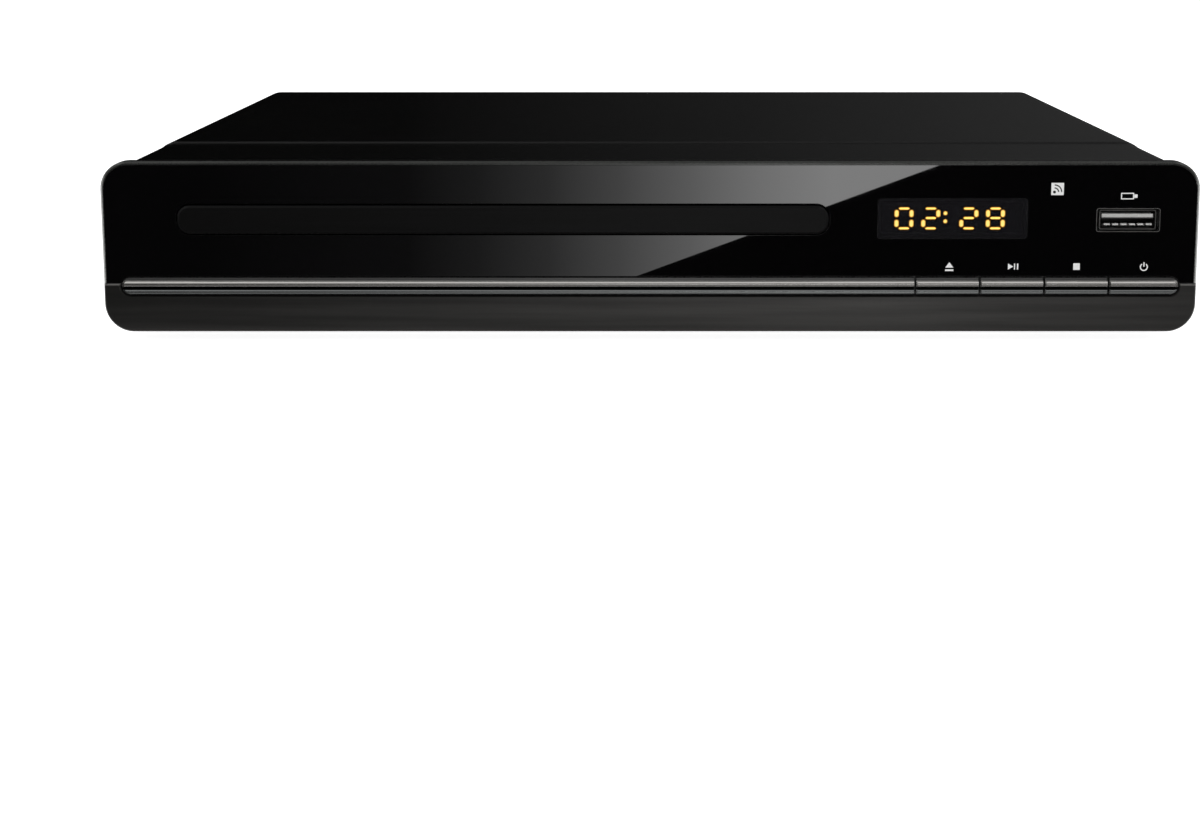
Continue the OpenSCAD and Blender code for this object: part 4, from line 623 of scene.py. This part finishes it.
def plane(name, corners, material):
    mesh = bpy.data.meshes.new(name)
    mesh.from_pydata(corners, [], [tuple(range(len(corners)))])
    piece = bpy.data.objects.new(name, mesh)
    bpy.context.scene.collection.objects.link(piece)
    mesh.materials.append(material)
    return piece


def seen(tree):
    """1 for camera, glossy and transmission rays, and 0 for the light that falls on the object."""
    rays = tree.nodes.new("ShaderNodeLightPath").outputs
    level = rays["Is Camera Ray"]
    for name in ("Is Glossy Ray", "Is Transmission Ray"):
        most = tree.nodes.new("ShaderNodeMath")
        most.operation = "MAXIMUM"
        tree.links.new(level, most.inputs[0])
        tree.links.new(rays[name], most.inputs[1])
        level = most.outputs[0]
    return level


FLOOR_REACH, FLOOR_GLOW = 6, 0.88


def floor_material():
    """Pale floor, white in the camera's and the reflections' eyes, that keeps the object's shadow."""
    s = Shader("floor_pale")
    s.put(Base_Color=(0.80, 0.80, 0.80), Roughness=0.9, Specular_IOR_Level=0.0,
          Emission_Color=(1.0, 1.0, 1.0))
    s.link(s.math("MULTIPLY", seen(s.tree), FLOOR_GLOW), s.bsdf.inputs["Emission Strength"])
    return s.mat


plane("floor", [(i * FLOOR_REACH, j * FLOOR_REACH, 0) for i, j in ((-1, -1), (1, -1), (1, 1), (-1, 1))],
      floor_material())

# the camera stands before the front's middle, above it, and its picture is shifted
CAMERA_D, CAMERA_Z, PITCH, LENS, SHIFT = 0.510, 0.1047, 9.58, 62.86, (-0.0418, -0.1178)
FRONT_Y = -0.107

# The cards are soft boxes that only reflections see. The front card lies on the floor before the
# object. The glossy panel shows it as a glow that grows from GLOW_FROM to GLOW_TO along the front,
# and ends at a slanted edge.
CARD_UP, CARD_LEVEL = 4e-4, 4.9
GLOW_FROM, GLOW_TO = -0.112, 0.062
EDGE_SOFT = 2e-5  # in square metres, over the edge's length


def on_floor(reach, near, far):
    """Corners of a card lying on the floor, from -reach to reach and from near to far."""
    return [(x, y, CARD_UP) for x, y in ((-reach, near), (reach, near), (reach, far), (-reach, far))]


def only_reflected(piece):
    piece.visible_camera = False
    piece.visible_diffuse = False
    piece.visible_shadow = False
    piece.visible_transmission = False
    piece.visible_volume_scatter = False


def card_shader(name):
    s = Shader(name)
    s.put(Base_Color=(0.0, 0.0, 0.0), Specular_IOR_Level=0.0, Roughness=1.0)
    return s


def card_point(x, z):
    """The floor point whose line to the camera's place meets the front's plane at x, z."""
    grow = CAMERA_Z / (CAMERA_Z - z)
    return x * grow, FRONT_Y - CAMERA_D * (grow - 1)


CARD_EDGE = (card_point(-0.0037, 0.0165), card_point(0.0703, 0.0441))


def front_card_material():
    """Dark at the left, bright up to the slanted edge, and dark beyond it."""
    s = card_shader("soft_card")
    place = s.split()
    x, y = place["X"], place["Y"]
    far = s.math("SUBTRACT", CAMERA_D + FRONT_Y, y)
    on_panel = s.math("DIVIDE", s.math("MULTIPLY", x, CAMERA_D), far)
    glow = s.levels(s.spread(on_panel, 0, 1, GLOW_FROM, GLOW_TO), [
        (0.0, 0.002), (0.3, 0.014), (0.4, 0.046), (0.5, 0.112), (0.6, 0.26), (0.7, 0.49), (0.8, 0.78),
        (0.9, 1.0)])
    (x1, y1), (x2, y2) = CARD_EDGE
    side = s.math("SUBTRACT", s.math("MULTIPLY", s.math("SUBTRACT", x, x1), y2 - y1),
                  s.math("MULTIPLY", s.math("SUBTRACT", y, y1), x2 - x1))
    inside = s.spread(side, 0, 1, -EDGE_SOFT, EDGE_SOFT)
    s.link(glow, s.bsdf.inputs["Emission Color"])
    s.link(s.math("MULTIPLY", inside, CARD_LEVEL), s.bsdf.inputs["Emission Strength"])
    return s.mat


only_reflected(plane("front_card", on_floor(0.5, -0.80, -0.186), front_card_material()))


def gradient_card(name, corners, axis, start, end, stops):
    """A card with grey levels along one axis."""
    s = card_shader(name)
    s.put(Emission_Strength=1.0)
    glow = s.levels(s.spread(s.split()[axis], 0, 1, start, end), stops)
    s.link(glow, s.bsdf.inputs["Emission Color"])
    only_reflected(plane(name, corners, s.mat))


gradient_card("rear_flag", [(-1.8, 0.45, 0.0), (1.8, 0.45, 0.0), (1.8, 0.9, 1.5), (-1.8, 0.9, 1.5)],
              "X", -0.4, 0.5, [(0.0, 0.0), (0.3, 0.003), (0.5, 0.019), (0.75, 0.05), (1.0, 0.075)])
gradient_card("front_flag", [(-2.2, -1.5, 0.0), (2.2, -1.5, 0.0), (2.2, -1.5, 1.7), (-2.2, -1.5, 1.7)],
              "Z", 0.0, 1.7, [(0.0, 0.22), (0.35, 0.28), (1.0, 0.9)])
gradient_card("ceiling_card", [(-0.9, -1.4, 1.5), (0.9, -1.4, 1.5), (0.9, 0.9, 1.5), (-0.9, 0.9, 1.5)],
              "X", -0.4, 0.4, [(0.0, 0.75), (0.5, 0.65), (1.0, 0.75)])
gradient_card("foot_card", on_floor(0.4, -0.127, -0.109), "X", -0.4, 0.4, [(0.0, 0.45), (1.0, 0.45)])
gradient_card("near_card", on_floor(0.4, -0.185, -0.127), "X", -0.15, 0.14,
              [(0.0, 0.03), (0.35, 0.55), (0.75, 1.5), (1.0, 0.6)])


def lamp(name, place, size, power):
    """A soft lamp aimed at the object, without highlights of its own."""
    light = bpy.data.lights.new(name, "AREA")
    light.shape = "RECTANGLE"
    light.size, light.size_y = size
    light.energy = power
    light.specular_factor = 0.0
    made = bpy.data.objects.new(name, light)
    made.location = place
    made.rotation_euler = (-Vector(place)).to_track_quat("-Z", "Y").to_euler()
    bpy.context.scene.collection.objects.link(made)


lamp("top_light", (0, -0.3, 1.6), (2.8, 1.1), 12)
lamp("front_light", (0, -2.2, 0.9), (2.0, 1.0), 14)

# a world that is white to look at and dimmer as a lamp
world = bpy.data.worlds.new("studio")
bpy.context.scene.world = world
world.use_nodes = True
sky = world.node_tree
strength = sky.nodes.new("ShaderNodeMapRange")
strength.inputs["To Min"].default_value = 0.45
strength.inputs["To Max"].default_value = 1.0
sky.links.new(seen(sky), strength.inputs["Value"])
sky.links.new(strength.outputs["Result"], sky.nodes["Background"].inputs["Strength"])
sky.nodes["Background"].inputs["Color"].default_value = (1, 1, 1, 1)

camera = bpy.data.cameras.new("camera")
camera.sensor_width = 36
camera.lens = LENS
camera.shift_x, camera.shift_y = SHIFT
camera.clip_start = 0.01
eye = bpy.data.objects.new("camera", camera)
eye.location = (0, FRONT_Y - CAMERA_D, CAMERA_Z)
eye.rotation_euler = (math.radians(90 - PITCH), 0, 0)
bpy.context.scene.collection.objects.link(eye)
bpy.context.scene.camera = eye
bpy.context.scene.view_settings.view_transform = "Standard"
